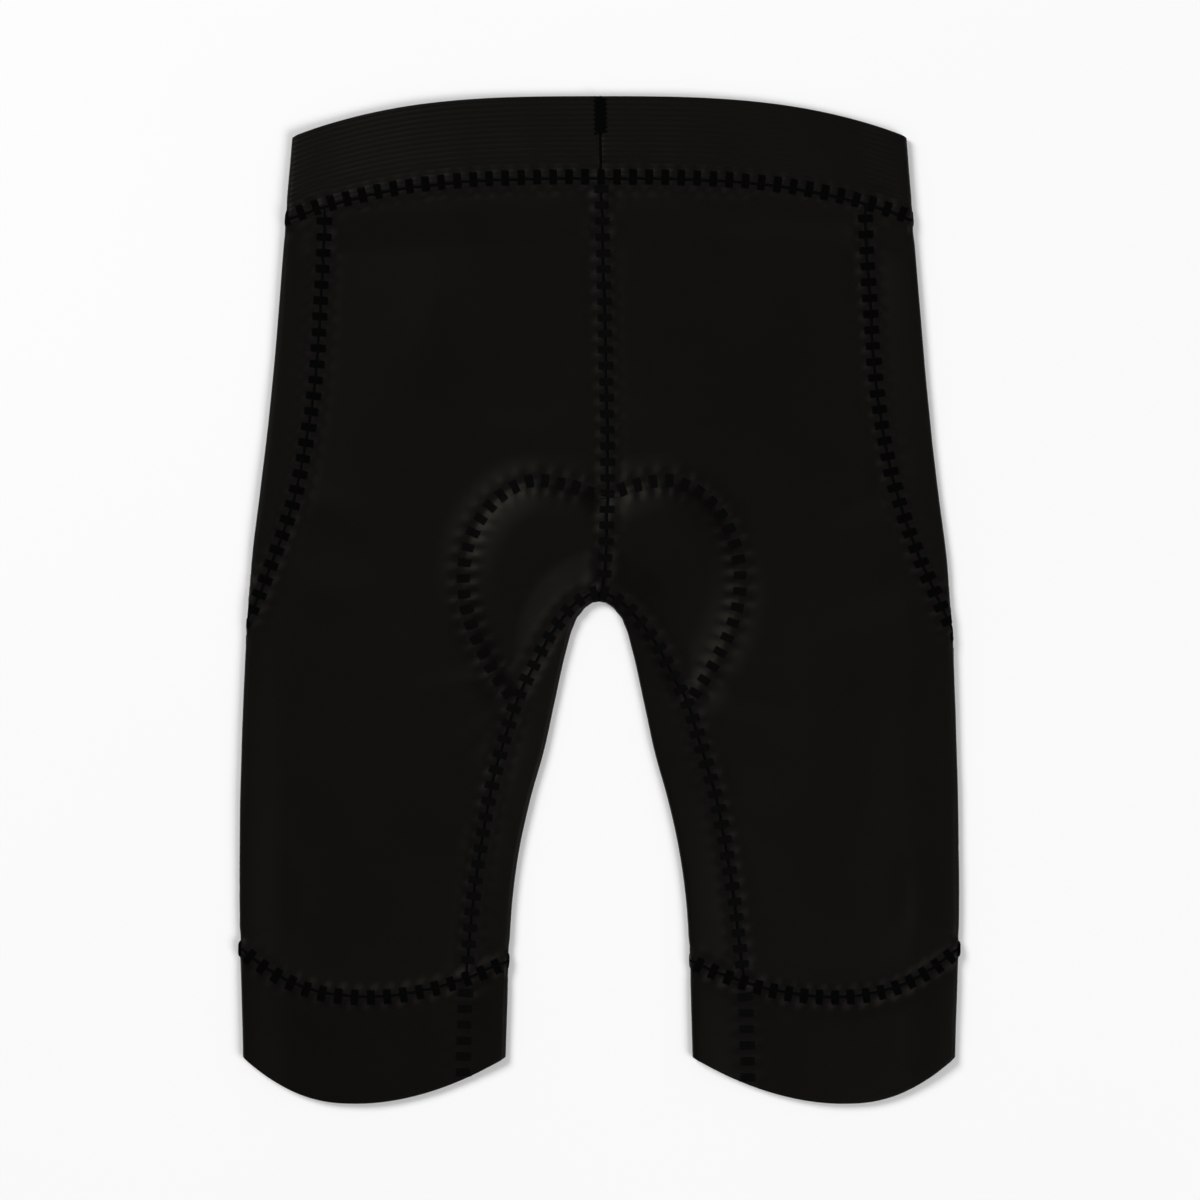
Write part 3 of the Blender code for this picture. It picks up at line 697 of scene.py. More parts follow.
def band_row(folds, row_height, join, wall, counts):
    """One row of a band: points, facing, from its join round both folds and back to it.

    folds are the folded edges' places; row_height(share, layer) is the row's height, share running from the
    first fold to the second; join is the share where the ends meet. With no wall the ring is closed.
    """
    first, second = folds
    turn = np.sign(second - first)
    length = abs(second - first)
    radius = float(fold_radius(row_height(0.0, "back")))
    low, high = radius / length, 1 - radius / length
    lip = np.append(SEAM_GAP / 2 + wall / 2 * LIP, SEAM_GAP / 2 + wall / 2) / length if wall else np.zeros(1)
    long, right = counts
    turning = np.linspace(np.pi / 2, -np.pi / 2, FOLD_POINTS + 2)[1:-1]
    flat = np.pi / 2
    stretches = (
        (np.concatenate([join + lip[:-1], np.linspace(join + lip[-1], high, right)]), flat, 1),
        (1 - low * (1 - np.cos(turning)), turning, 1),
        (np.linspace(high, low, long), -flat, 1),
        (low * (1 - np.cos(turning)), -turning, -1),
        (np.concatenate([np.linspace(low, join - lip[-1], long - right), join - lip[:-1][::-1]]), flat, -1),
    )
    share = np.concatenate([stretch[0] for stretch in stretches])
    angle = np.concatenate([np.broadcast_to(stretch[1], stretch[0].shape) for stretch in stretches])
    inward = np.concatenate([np.full(stretch[0].shape, -turn * stretch[2]) for stretch in stretches])
    if not wall:
        share, angle, inward = share[:-1], angle[:-1], inward[:-1]
    y = np.where(angle > 0, row_height(share, "back"), row_height(share, "front"))
    return lay(first + turn * length * share, y, radius * angle, radius, (inward, 0))


def band_grid(height_of, folds_of, join_of, width, wall, closed):
    """The rows of a band, from its seam to its free edge, cut straight and stretched to each row's length.

    A closed ring's cloth coordinates have one more column.
    """
    downs = with_lips(0, width, wall, lambda a, b: evenly(a, b, CLOTH_STEP)) / width
    counts = band_counts(folds_of(0.5), join_of(0.5))
    rows = []
    for down in downs:
        row_height = partial(height_of, down=down)
        rows.append(band_row(folds_of(down), row_height, join_of(down), 0 if closed else wall, counts))
    points, facing = (np.array(values) for values in zip(*rows))
    ring = np.concatenate([points, points[:, :1]], axis=1) if closed else points
    steps = np.linalg.norm(np.diff(ring, axis=1), axis=2)
    along = np.concatenate([np.zeros((len(downs), 1)), np.cumsum(steps, axis=1)], axis=1)
    along *= along[:, -1].mean() / along[:, -1:]
    return points, facing, np.stack([along, np.broadcast_to(downs[:, None] * width, along.shape)], axis=-1)


def waistband_height(share, layer, down):
    from_middle = np.abs(2 * share - 1)
    bottom = waistband_seam_y(from_middle, layer) + SEAM_GAP / 2
    return bottom + (waist_y(from_middle, layer) - bottom) * down


def waistband_folds(down):
    half = float(outer_x(waistband_height(0.0, "back", down)))
    return -half, half


def waistband_join(down):
    drift = float(centre_drift(waistband_height(0.5, "back", down)))
    return 0.5 + drift / 2 / waistband_folds(down)[1]


def leg_band_height(share, layer, down):
    top = leg_seam_y(share) - SEAM_GAP / 2
    return top + (hem_y(share) - top) * down


def leg_band_folds(side):
    def folds_of(down):
        outer = float(outer_x(leg_band_height(0.0, "back", down)))
        inner = float(inner_x(leg_band_height(1.0, "back", down)))
        return sign_of(side) * outer, sign_of(side) * inner

    return folds_of


def leg_band_join(side):
    """The share across the leg where the band's join lies, in line with the inner-leg seam."""
    seam = inner_seam(side)

    def join_of(down):
        outer, inner = leg_band_folds(side)(down)
        join_x = np.interp(-leg_band_height(LEG_BAND_JOIN_ACROSS, "back", down), -seam[:, 1], seam[:, 0])
        return (abs(outer) - float(join_x)) / (abs(outer) - abs(inner))

    return join_of


# %% [markdown]
# ## Seams as lines
#
# Every seam is a line on the skin with a facing and a running length. The stitches are placed on it and
# the cloth is shaped by it, so both follow the same line. A real flat seam is a slightly raised tape: its
# edges dip where the needle pulls, and a little more at each bar of thread.

# %% Seam lines
def seam_line(points, facing):
    arc = running_length(points)
    count = max(2, round(arc[-1]))
    at = np.linspace(0, arc[-1], count)
    even = on_line(points, arc, at)
    along = np.gradient(even, axis=0)
    along /= np.linalg.norm(along, axis=1)[:, None]
    up = on_line(facing, arc, at)
    up -= (up * along).sum(axis=1)[:, None] * along
    up /= np.linalg.norm(up, axis=1)[:, None]
    return {"points": even, "along": along, "up": up, "arc": at}


def flat_line(plan, layer):
    """A line on the back or front layer, from its plan."""
    z = height(plan[:, 0], plan[:, 1], layer)
    facing = np.tile([0.0, 0.0, 1.0 if layer == "back" else -1.0], (len(plan), 1))
    return seam_line(np.column_stack([plan, z]), facing)


def band_seam(folds, row_height, join):
    """The whole ring of a band's seam, from its join round to the same place."""
    points, facing = band_row(folds, row_height, join, 0, band_counts(folds, join))
    return seam_line(np.append(points, points[:1], axis=0), np.append(facing, facing[:1], axis=0))


def down_to(line, end_y, sign):
    kept = line[line[:, 1] > end_y]
    return np.column_stack([sign * kept[:, 0], kept[:, 1]])


SEAMS = {}
SEAMS["waistband"] = band_seam(
    waistband_folds(0), lambda share, layer: waistband_seam_y(np.abs(2 * share - 1), layer), waistband_join(0)
)
for side in ("left", "right"):
    sign = sign_of(side)
    down = np.linspace(0, 2, 400)
    points, facing, _ = laid_panel(side, side_seam_s(side, row_y(1.0, down, "back")), down)
    SEAMS[f"side_{side}"] = seam_line(points, facing)
    foot_y = seam_foot(inner_seam(side))[2]
    for layer in ("back", "front"):
        SEAMS[f"inner_{layer}_{side}"] = flat_line(down_to(inner_seam(side), foot_y, sign), layer)
    SEAMS[f"leg_{side}"] = band_seam(
        leg_band_folds(side)(0), lambda share, layer: leg_seam_y(share), leg_band_join(side)(0)
    )
    joined = [(leg_band_folds(side)(d), leg_band_join(side)(d), d) for d in np.linspace(0, 1, 30)]
    plan = [(a + (b - a) * j, leg_band_height(j, "back", d)) for (a, b), j, d in joined]
    SEAMS[f"join_{side}"] = flat_line(np.array(plan, float), "back")
    SEAMS[f"pad_{side}"] = flat_line(PAD_STITCH_LINE * (sign, 1) + (PAD_MIDDLE_X, 0), "back")

# The centre seam runs down the back, round the crotch and up the front
back_y = np.linspace(WAISTBAND_SEAM_Y, CROTCH_Y + BODY_FOLD_RADIUS, 130)
front_y = np.linspace(WAISTBAND_SEAM_Y - FRONT_WAIST_DIP, CROTCH_Y + BODY_FOLD_RADIUS, 130)
SEAMS["centre_back"] = flat_line(np.column_stack([centre_drift(back_y), back_y]), "back")
SEAMS["centre_front"] = flat_line(np.column_stack([0 * front_y, front_y]), "front")
turning = np.linspace(np.pi / 2, -np.pi / 2, 9)
turn_y = CROTCH_Y + BODY_FOLD_RADIUS * (1 - np.cos(turning))
crotch = lay(0, turn_y, BODY_FOLD_RADIUS * turning, BODY_FOLD_RADIUS, (0, 1))
SEAMS["crotch"] = seam_line(*crotch)
waist_join_y = np.linspace(WAIST_Y, WAISTBAND_SEAM_Y, 40)
SEAMS["waist_join"] = flat_line(np.column_stack([centre_drift(waist_join_y), waist_join_y]), "back")
for name, seam in SEAMS.items():
    print(f"{name}: {seam['arc'][-1]:.0f} mm")

# %% Bars of thread along each seam
# All sizes are in mm. first and last are the outer bars' distances from the seam's ends; a ring has a bar
# at its join and one at its outer fold instead. shift moves the bars towards the waist, and shade picks
# the thread.
BARS = {
    "waistband": {"pitch": 8.0, "length": 8.8, "width": 3.8, "shift": 1.1, "shade": "dark"},
    "side": {"pitch": 8.0, "first": 6.9, "last": 6.0, "length": 8.4, "width": 3.9, "shade": "dark"},
    "leg": {"pitch": 8.0, "length": 8.5, "width": 3.8, "shift": -0.5, "shade": "dark"},
    "centre": {"pitch": 8.05, "first": 5.0, "last": 12.3, "length": 8.4, "width": 3.9, "shade": "soft"},
    "inner": {"pitch": 8.0, "first": 2.2, "last": 8.4, "length": 8.2, "width": 3.8, "shade": "soft"},
    "pad": {"pitch": 8.0, "first": 6.2, "last": 5.5, "length": 7.4, "width": 3.9, "shade": "soft"},
    "join": {"pitch": 8.0, "first": 7.5, "last": 3.6, "length": 8.7, "width": 4.0, "shade": "soft"},
    "crotch": {"length": 7.0, "width": 3.4, "shade": "soft"},
}
# The centre seam passes the pad's notch on the right, so the first bar keeps clear of it there
MOVED_BARS = {"pad_right": {"first": 10.8}}


def bar_places(seam, pitch, first=None, last=None, **sizes):
    """Distances of the bars along a seam, as even as its ends allow."""
    end = seam["arc"][-1]
    if first is None:
        stops = [0, float(seam["arc"][np.abs(seam["points"][:, 0]).argmax()]), end]
    else:
        stops = [first, end - last]
    stretches = [np.linspace(a, b, 1 + round((b - a) / pitch)) for a, b in zip(stops, stops[1:])]
    places = np.unique(np.concatenate(stretches))
    return places[:-1] if first is None else places


for name, seam in SEAMS.items():
    seam["kind"] = name.split("_")[0]
    if seam["kind"] == "crotch":
        seam["bars"] = seam["arc"][-1:] / 2
    elif seam["kind"] in BARS:
        seam["bars"] = bar_places(seam, **{**BARS[seam["kind"]], **MOVED_BARS.get(name, {})})
print("bars of thread:", sum(len(seam["bars"]) for seam in SEAMS.values() if "bars" in seam))

# %% [markdown]
# ## Relief
#
# The skin is the drafted shape. Real knit adds a little to it: a raised tape at each seam with a dimple
# at every bar, a quilted groove round the pad, small gathers where the elastic pulls, and a few soft
# creases round the pad, at the hips, on the upper back and on the thighs. Each is a small height that
# depends on the distance to its line, so all of them add up.

# %% Distance to a line on the skin
def near_line(line, points, facing, reach):
    """Which points lie within reach of a line on its side of the cloth, how far away and how far along."""
    low = line["points"].min(axis=0) - reach
    high = line["points"].max(axis=0) + reach
    chosen = np.flatnonzero(((points > low) & (points < high)).all(axis=1))
    found = []
    for first in range(0, len(chosen), AT_A_TIME):
        some = chosen[first:first + AT_A_TIME]
        away = points[some, None, :] - line["points"]
        nearest = (away**2).sum(axis=2).argmin(axis=1)
        rest = away[np.arange(len(some)), nearest]
        slide = (rest * line["along"][nearest]).sum(axis=1)
        same_side = (facing[some] * line["up"][nearest]).sum(axis=1) > 0
        beside = np.sqrt(np.maximum((rest**2).sum(axis=1) - np.clip(slide, -1, 1) ** 2, 0))
        close = same_side & (beside < reach)
        found.append((some[close], beside[close], (line["arc"][nearest] + slide)[close]))
    if not found:
        return np.array([], int), np.array([]), np.array([])
    return tuple(np.concatenate(parts) for parts in zip(*found))


# %% Creases, placed one by one
# Each runs from its first point to its last by way of the middle one; width and height are the ridge's own.
CREASES = table(
    "x0 y0 x1 y1 x2 y2 width height",
    (-30, -22, -58, -40, -96, -44, 7.0, 0.55),
    (-33, -40, -56, -66, -88, -82, 8.5, 0.50),
    (-40, -72, -60, -104, -86, -128, 9.0, 0.42),
    (33, -26, 62, -46, 104, -56, 7.5, 0.60),
    (37, -50, 62, -78, 92, -100, 8.5, 0.45),
    (46, -88, 66, -116, 84, -146, 9.0, 0.38),
    (-162, 52, -126, 44, -92, 26, 11.0, 0.55),
    (-168, 6, -130, 4, -98, -6, 12.0, 0.50),
    (164, 64, 130, 52, 96, 40, 11.0, 0.60),
    (170, 14, 138, 6, 104, 2, 12.0, 0.45),
    (-60, 92, -34, 84, -10, 92, 8.0, 0.40),
    (12, 96, 38, 86, 66, 96, 8.5, 0.45),
    (-120, -36, -128, -90, -122, -150, 13.0, 0.55),
    (126, -28, 134, -84, 128, -142, 13.0, 0.50),
    (-92, 172, -84, 140, -92, 104, 12.0, 0.40),
    (78, 176, 88, 146, 82, 112, 12.0, 0.42),
    (-152, -120, -150, -140, -152, -166, 6.0, 0.30),
    (150, -126, 153, -146, 149, -170, 6.0, 0.30),
)


def crease_lines():
    t = np.linspace(0, 1, 24)[:, None]
    for row in zip(*CREASES.values()):
        start, middle, end = (np.array(row[i:i + 2]) for i in (0, 2, 4))
        control = 2 * middle - (start + end) / 2
        plan = start * (1 - t) ** 2 + 2 * control * t * (1 - t) + end * t**2
        yield flat_line(plan, "back"), row[6], row[7]


CREASE_LINES = list(crease_lines())
print("creases:", len(CREASE_LINES))

# %% Height added to the skin
RIDGE = 0.34
DIP = 0.2
DIMPLE = 0.2
CREASING = 1.5
GATHER = {"waistband": 0.22, "leg": 0.14}
QUILTING = 0.95
GROOVE = 0.1
TAPE_HALF_WIDTH = 4.2
SEAM_REACH = 12
GATHER_REACH = 26
CREASE_REACH = 2.4


def seam_relief(seam, away, arc, facing_z):
    kind = seam["kind"]
    if kind in ("waist", "crotch"):
        return -GROOVE * np.exp(-(away / 2.5) ** 2)
    turns = np.interp(arc, seam["bars"], np.arange(len(seam["bars"])))
    dimple = -DIMPLE * np.cos(2 * np.pi * turns) * np.exp(-(((away - 4.5) / 3.0) ** 2))
    if kind == "pad":
        return -QUILTING * np.exp(-(away / 3.4) ** 2) + 1.4 * dimple
    if kind == "join":
        return 0.2 * RIDGE * np.exp(-(away / TAPE_HALF_WIDTH) ** 4) + 0.7 * dimple
    on_top = np.clip(facing_z, 0, 1)
    tape = (RIDGE * on_top - GROOVE * (1 - on_top)) * np.exp(-(away / TAPE_HALF_WIDTH) ** 4)
    relief = tape - DIP * np.exp(-(((away - 7.0) / 2.6) ** 2)) + dimple
    if kind in GATHER:
        wander = np.sin(arc / 5.9 + 1.7 * np.sin(arc / 23.0)) + 0.6 * np.sin(arc / 3.1 + 2.0)
        relief += GATHER[kind] * wander * np.exp(-(away / 11.0)) * (1 - np.exp(-((away / 4.0) ** 2)))
    return relief


def waves(x, y):
    """Slow waves of cloth that isn't quite flat."""
    return (
        0.16 * np.sin(x / 19 + 1.3 * np.sin(y / 41))
        + 0.14 * np.sin(y / 23 - 1.1 * np.sin(x / 37) + 0.8)
        + 0.07 * np.sin(x / 7.3 + y / 9.1 + np.sin(y / 15))
    )


def relief(points, facing):
    """How far the cloth stands off the skin at each point."""
    facing_z = facing[:, 2]
    top = ease((facing_z + 1) / 2)
    added = (waves(points[:, 0], points[:, 1]) + 0.1) * (top - 0.25 * (1 - top))
    for seam in SEAMS.values():
        reach = GATHER_REACH if seam["kind"] in GATHER else SEAM_REACH
        chosen, away, arc = near_line(seam, points, facing, reach)
        added[chosen] += seam_relief(seam, away, arc, facing_z[chosen])
    for line, width, tall in CREASE_LINES:
        chosen, away, arc = near_line(line, points, facing, CREASE_REACH * width)
        along = np.sin(np.pi * np.clip(arc / line["arc"][-1], 0, 1)) ** 1.2
        added[chosen] += CREASING * tall * along * np.exp(-((away / width) ** 2)) * top[chosen]
    return added

# %% [markdown]
# ## From a grid to a piece of cloth
#
# Every piece is a closed wall: its outer face is the skin plus the relief, its inner face lies one wall
# under it, and both close up to a round lip at the cut edges. The mesh also keeps where each point was on
# the flat cloth, in metres, so that the knit's grain follows the piece.

# %% Normals and lips of a grid
def tangent(points, axis, ring):
    """Direction from one neighbour to the next; a ring's columns go on from the last to the first."""
    if ring and axis == 1:
        points = np.concatenate([points[:, -1:], points, points[:, :1]], axis=1)
        return np.gradient(points, axis=1)[:, 1:-1]
    return np.gradient(points, axis=axis)


def grid_normals(points, facing, ring):
    normals = np.cross(tangent(points, 0, ring), tangent(points, 1, ring))
    normals /= np.maximum(np.linalg.norm(normals, axis=2), 1e-12)[:, :, None]
    return normals * np.sign((normals * facing).sum())


def from_edge(points, ring):
    """Each point's distance along the grid to the nearest edge of the piece."""
    across = []
    for axis in ((0,) if ring else (0, 1)):
        steps = np.linalg.norm(np.diff(points, axis=axis), axis=2)
        start = np.zeros_like(np.take(steps, [0], axis=axis))
        run = np.concatenate([start, np.cumsum(steps, axis=axis)], axis=axis)
        across += [run, np.take(run, [-1], axis=axis) - run]
    return np.minimum.reduce(across)


# %% Closed mesh between two faces
def closed_mesh(name, outer, inner, cloth, ring, facing):
    """A closed mesh between two grids that share their edges."""
    rows, columns = outer.shape[:2]
    corner = np.arange(rows * columns).reshape(rows, columns)
    under = corner + rows * columns
    under[[0, -1]] = corner[[0, -1]]
    if not ring:
        under[:, [0, -1]] = corner[:, [0, -1]]
    across = np.arange(columns if ring else columns - 1)
    after = (across + 1) % columns
    r = np.arange(rows - 1)[:, None]

    def quads(ids, right):
        found = np.stack([ids[r, across], ids[r, right], ids[r + 1, right], ids[r + 1, across]], axis=-1)
        return found.reshape(-1, 4)

    faces = np.concatenate([quads(corner, after), quads(under, after)[:, ::-1]])
    cloth_id = np.arange(cloth.shape[0] * cloth.shape[1]).reshape(cloth.shape[:2])
    places = np.concatenate([quads(cloth_id, across + 1), quads(cloth_id, across + 1)[:, ::-1]])
    points = np.concatenate([outer.reshape(-1, 3), inner.reshape(-1, 3)])
    a, b, c = (points[faces[:len(faces) // 2, i]] for i in (0, 1, 3))
    if (np.cross(b - a, c - a) * facing[:-1, across].reshape(-1, 3)).sum() < 0:
        faces, places = faces[:, ::-1], places[:, ::-1]
    used, faces = np.unique(faces, return_inverse=True)
    mesh = bpy.data.meshes.new(name)
    mesh.from_pydata((points[used] * MM).tolist(), [], faces.reshape(-1, 4).tolist())
    layer = mesh.uv_layers.new(name="cloth")
    layer.uv.foreach_set("vector", (cloth.reshape(-1, 2)[places.ravel()] * MM).astype(np.float32).ravel())
    mesh.shade_smooth()
    return mesh


def add_object(name, mesh):
    piece = bpy.data.objects.new(name, mesh)
    bpy.context.scene.collection.objects.link(piece)
    return piece


# %% How large a piece was cut
def lengths(points, axis):
    return np.linalg.norm(np.diff(points, axis=axis), axis=2).sum(axis=axis)


def cut_size(kind, grid, wall, ring):
    """A piece's flat width and length, and its area, in metres, measured on the middle of its cloth.

    A panel is as large as the rectangle round it once unrolled, and a strip as its widest row by its
    longest edge. A band is as long as its rows are on average, and its width is its area over that length.
    """
    points, facing, cloth = grid
    middle = points - facing / np.linalg.norm(facing, axis=2, keepdims=True) * wall / 2
    if ring:
        middle = np.concatenate([middle, middle[:, :1]], axis=1)
    corner = middle[:-1, :-1]
    diagonal = middle[1:, 1:] - corner
    halves = np.cross(middle[:-1, 1:] - corner, diagonal), np.cross(diagonal, middle[1:, :-1] - corner)
    area = sum(np.linalg.norm(half, axis=2).sum() / 2 for half in halves)
    across = lengths(middle, 1)
    if kind == "panel":
        size = np.ptp(cloth.reshape(-1, 2), axis=0)
    elif kind == "strip":
        size = across.max(), lengths(middle, 0).max()
    else:
        size = area / across.mean(), across.mean()
    return tuple(round(float(side) * MM, 3) for side in size), round(float(area) * MM * MM, 4)


# %% One piece of cloth
SURFACES = []
CUT = {}


def make_cloth(node, kind, grid, wall, ring=False):
    CUT[node] = cut_size(kind, grid, wall, ring)
    base, facing, cloth = grid
    normals = grid_normals(base, facing, ring)
    added = relief(base.reshape(-1, 3), normals.reshape(-1, 3)).reshape(base.shape[:2])
    outer = base + added[:, :, None] * normals
    normals = grid_normals(outer, facing, ring)
    edge = np.clip(from_edge(outer, ring) / (wall / 2), 0, 1)
    lip = np.sqrt(1 - (1 - edge) ** 2)[:, :, None]
    middle = outer - wall / 2 * normals
    SURFACES.append((outer, normals, ring))
    mesh = closed_mesh(node + "_cloth", middle + wall / 2 * lip * normals, middle - wall / 2 * lip * normals,
                       cloth, ring, facing)
    piece = add_object(node + "_cloth", mesh)
    area = np.linalg.norm(np.cross(np.diff(outer[:-1], axis=1), np.diff(outer[:, :-1], axis=0)), axis=2).sum()
    low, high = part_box(node)
    points = np.array([v.co for v in mesh.vertices])
    past = max(np.max(np.array(low) - points.min(axis=0)), np.max(points.max(axis=0) - np.array(high)))
    print(f"{piece.name}: {2 * len(mesh.polygons)} triangles, {area * MM * MM:.4f} m2,", end=" ")
    print(f"{past / MM:.2f} mm past its solid")
    return piece


PIECES = {}
for side in ("left", "right"):
    for layer in ("back", "front"):
        grid = panel_grid(side, layer, PANEL_COLUMNS)
        PIECES[f"{layer}_{side}"] = make_cloth(f"{layer}_{side}", "panel", grid, CLOTH_WALL["panel"])
    grid = strip_grid(side)
    PIECES[f"inner_leg_{side}"] = make_cloth(f"inner_leg_{side}", "strip", grid, CLOTH_WALL["panel"])
    width = leg_seam_y(0.5) - hem_y(0.5)
    wall = CLOTH_WALL["leg_band"]
    grid = band_grid(leg_band_height, leg_band_folds(side), leg_band_join(side), width, wall, True)
    PIECES[f"leg_band_{side}"] = make_cloth(f"leg_band_{side}", "band", grid, wall, ring=True)
width = WAIST_Y - WAISTBAND_SEAM_Y
grid = band_grid(waistband_height, waistband_folds, waistband_join, width, CLOTH_WALL["waistband"], False)
PIECES["waistband"] = make_cloth("waistband", "band", grid, CLOTH_WALL["waistband"])

# %% [markdown]
# ## The seat pad
#
# The pad is moulded foam under a fleece, folded at the crotch and stitched to the back along its outline.
# It lies hidden in the shallow pocket between the layers, so it is modelled directly and not simulated:
# its top follows the cloth above it, quilted where the stitches pull it down, with a soft channel down
# the middle, and its rim is rounded.

# %% Seat pad
PAD_ROWS = 90
PAD_COLUMNS = 40
PAD_RIM = 2.2
PAD_CLEARANCE = 0.5
PAD_LEAST = 0.2
CHANNEL_DEPTH = 0.7
CHANNEL_HALF_WIDTH = 5.0


def pad_grid():
    """Plan of the pad: rows from one tip round the notch to the other, columns from the crotch to the rim."""
    outer_arc = running_length(PAD_OUTER)
    inner_line = FOLD_LINE + PAD_CLEAR_OF_FOLD * FOLD_INWARD
    share = np.linspace(0, 1, PAD_ROWS)[:, None]
    near = on_line(inner_line, FOLD_ARC, PAD_TIP_ARC * share[:, 0] ** 2)[:, None, :]
    far = on_line(PAD_OUTER, outer_arc, outer_arc[-1] * share[:, 0])[:, None, :]
    half = near + (far - near) * np.linspace(0, 1, PAD_COLUMNS)[None, :, None]
    return np.concatenate([half[:0:-1] * (-1, 1), half]) + (PAD_MIDDLE_X, 0)


plan = pad_grid()
x, y = plan[..., 0].ravel(), plan[..., 1].ravel()
skin = np.column_stack([x, y, height(x, y, "back")])
up = np.tile([0.0, 0.0, 1.0], (len(skin), 1))
channel = CHANNEL_DEPTH * np.exp(-((x - PAD_MIDDLE_X) / CHANNEL_HALF_WIDTH) ** 2)
top = skin[:, 2] + np.minimum(relief(skin, up), 0) - CLOTH_WALL["panel"] - PAD_CLEARANCE - channel
bottom = np.full_like(top, CLOTH_WALL["panel"] + PAD_CLEARANCE)
top = np.maximum(top, bottom + PAD_LEAST).reshape(plan.shape[:2])
bottom = bottom.reshape(plan.shape[:2])
rim = np.clip(from_edge(np.dstack([plan, 0 * top]), False) / PAD_RIM, 0, 1)
thick = (top - bottom) * np.sqrt(1 - (1 - rim) ** 2)
low_face = (top + bottom) / 2 - thick / 2
high_face = low_face + thick
upwards = np.tile([0.0, 0.0, 1.0], (*plan.shape[:2], 1))
pad_mesh = closed_mesh(
    "seat_pad_foam", np.dstack([plan, high_face]), np.dstack([plan, low_face]), plan, False, upwards
)
pad = add_object("seat_pad_foam", pad_mesh)
print("pad:", round(float(thick.max()), 1), "mm thick,", 2 * len(pad_mesh.polygons), "triangles")

# %% [markdown]
# ## Finishes
#
# Everything is the same near-black, so the finishes differ in how they take the light: a fine warp knit
# with a faint sheen, ribbed elastic at the waist, a smoother gripper at the hems, matt thread, brushed
# foam. Each one is a small tree of nodes. The knit's loops are drawn by sums on the cloth's own
# coordinates, so the grain runs down every panel and turns the corner with it; on a flat grid it would
# slide across the folds. The knits also carry painted light in their colour: each loop's top is painted
# lighter, as a painted highlight, and the gaps between loops darker, as painted shade.

# %% Helpers for node trees
def add_node(tree, kind, inputs=None, **settings):
    """A node with its settings and inputs set; an input that is another node's socket is linked."""
    node = tree.nodes.new(kind)
    for name, value in settings.items():
        setattr(node, name, value)
    for key, value in (inputs or {}).items():
        socket = node.inputs[key]
        if isinstance(value, bpy.types.NodeSocket):
            tree.links.new(value, socket)
        else:
            socket.default_value = value
    return node


def maths(tree, operation, *values):
    return add_node(tree, "ShaderNodeMath", dict(enumerate(values)), operation=operation).outputs[0]


def noise_at(tree, place, scale, detail=2.0, rough=0.5):
    inputs = {"Vector": place, "Scale": scale, "Detail": detail, "Roughness": rough}
    return add_node(tree, "ShaderNodeTexNoise", inputs).outputs["Fac"]


def vector_maths(tree, operation, inputs):
    return add_node(tree, "ShaderNodeVectorMath", inputs, operation=operation).outputs[0]


def between(tree, share, low, high):
    """share from 0 to 1, turned into a number from low to high."""
    return add_node(tree, "ShaderNodeMapRange", {0: share, 3: low, 4: high}).outputs[0]


def start_material(name):
    material = bpy.data.materials.new(name)
    material.use_nodes = True
    tree = material.node_tree
    tree.nodes.clear()
    return material, tree


def finish_material(tree, colour, rough, height, shader):
    """Ends a tree in a shader; height is in metres, and shader holds the numbers that don't vary."""
    normal = add_node(tree, "ShaderNodeBump", {"Height": height, "Strength": 1.0, "Distance": 1.0}).outputs[0]
    inputs = {"Base Color": colour, "Roughness": rough, "Normal": normal, **shader}
    surface = add_node(tree, "ShaderNodeBsdfPrincipled", inputs).outputs[0]
    add_node(tree, "ShaderNodeOutputMaterial", {"Surface": surface})


def shades(tree, share, dark, light):
    """A colour between dark and light."""
    mix = add_node(tree, "ShaderNodeMix", data_type="RGBA")
    for key, value in (("A_Color", dark), ("B_Color", light)):
        socket = next(s for s in mix.inputs if s.identifier == key)
        socket.default_value = (*value, 1)
    tree.links.new(share, mix.inputs[0])
    return next(s for s in mix.outputs if s.identifier == "Result_Color")


# %% Knitted loops
def loops(tree, place, wale, course):
    """A knit's surface from 0 to 1: columns of V-shaped loops, wale apart, with a row each course."""
    split = add_node(tree, "ShaderNodeSeparateXYZ", {0: place}).outputs
    column = maths(tree, "MULTIPLY", split[0], 1 / wale)
    row = maths(tree, "MULTIPLY", split[1], 1 / course)
    from_middle = maths(tree, "ABSOLUTE", maths(tree, "SUBTRACT", maths(tree, "FRACT", column), 0.5))
    leaning = maths(tree, "MULTIPLY_ADD", from_middle, 1.5, row)
    strand = maths(tree, "ABSOLUTE", maths(tree, "SINE", maths(tree, "MULTIPLY", leaning, np.pi)))
    leg = maths(tree, "SINE", maths(tree, "MULTIPLY", from_middle, 2 * np.pi))
    return maths(tree, "MULTIPLY", maths(tree, "POWER", leg, 0.6), maths(tree, "POWER", strand, 0.7))


def knit_material(name, wale, course, depth, dark, light, roughness, shader):
    material, tree = start_material(name)
    place = add_node(tree, "ShaderNodeUVMap", uv_map="cloth").outputs[0]
    surface = loops(tree, place, wale, course)
    cloudy = noise_at(tree, place, 14.0, 3.0)
    slub = noise_at(tree, place, 900.0, 2.0)
    # Painted highlight and shade: the colour is lighter on the loops' tops and darker in the gaps between
    # them, mixed with a random cloudy tone
    share = maths(tree, "ADD", maths(tree, "MULTIPLY", surface, 0.55), maths(tree, "MULTIPLY", cloudy, 0.45))
    colour = shades(tree, share, dark, light)
    rough = between(tree, maths(tree, "MULTIPLY", slub, cloudy), roughness[0], roughness[1])
    fuzz = maths(tree, "MULTIPLY", slub, 0.25 * depth)
    height = maths(tree, "MULTIPLY_ADD", surface, depth, fuzz)
    finish_material(tree, colour, rough, height, shader)
    return material
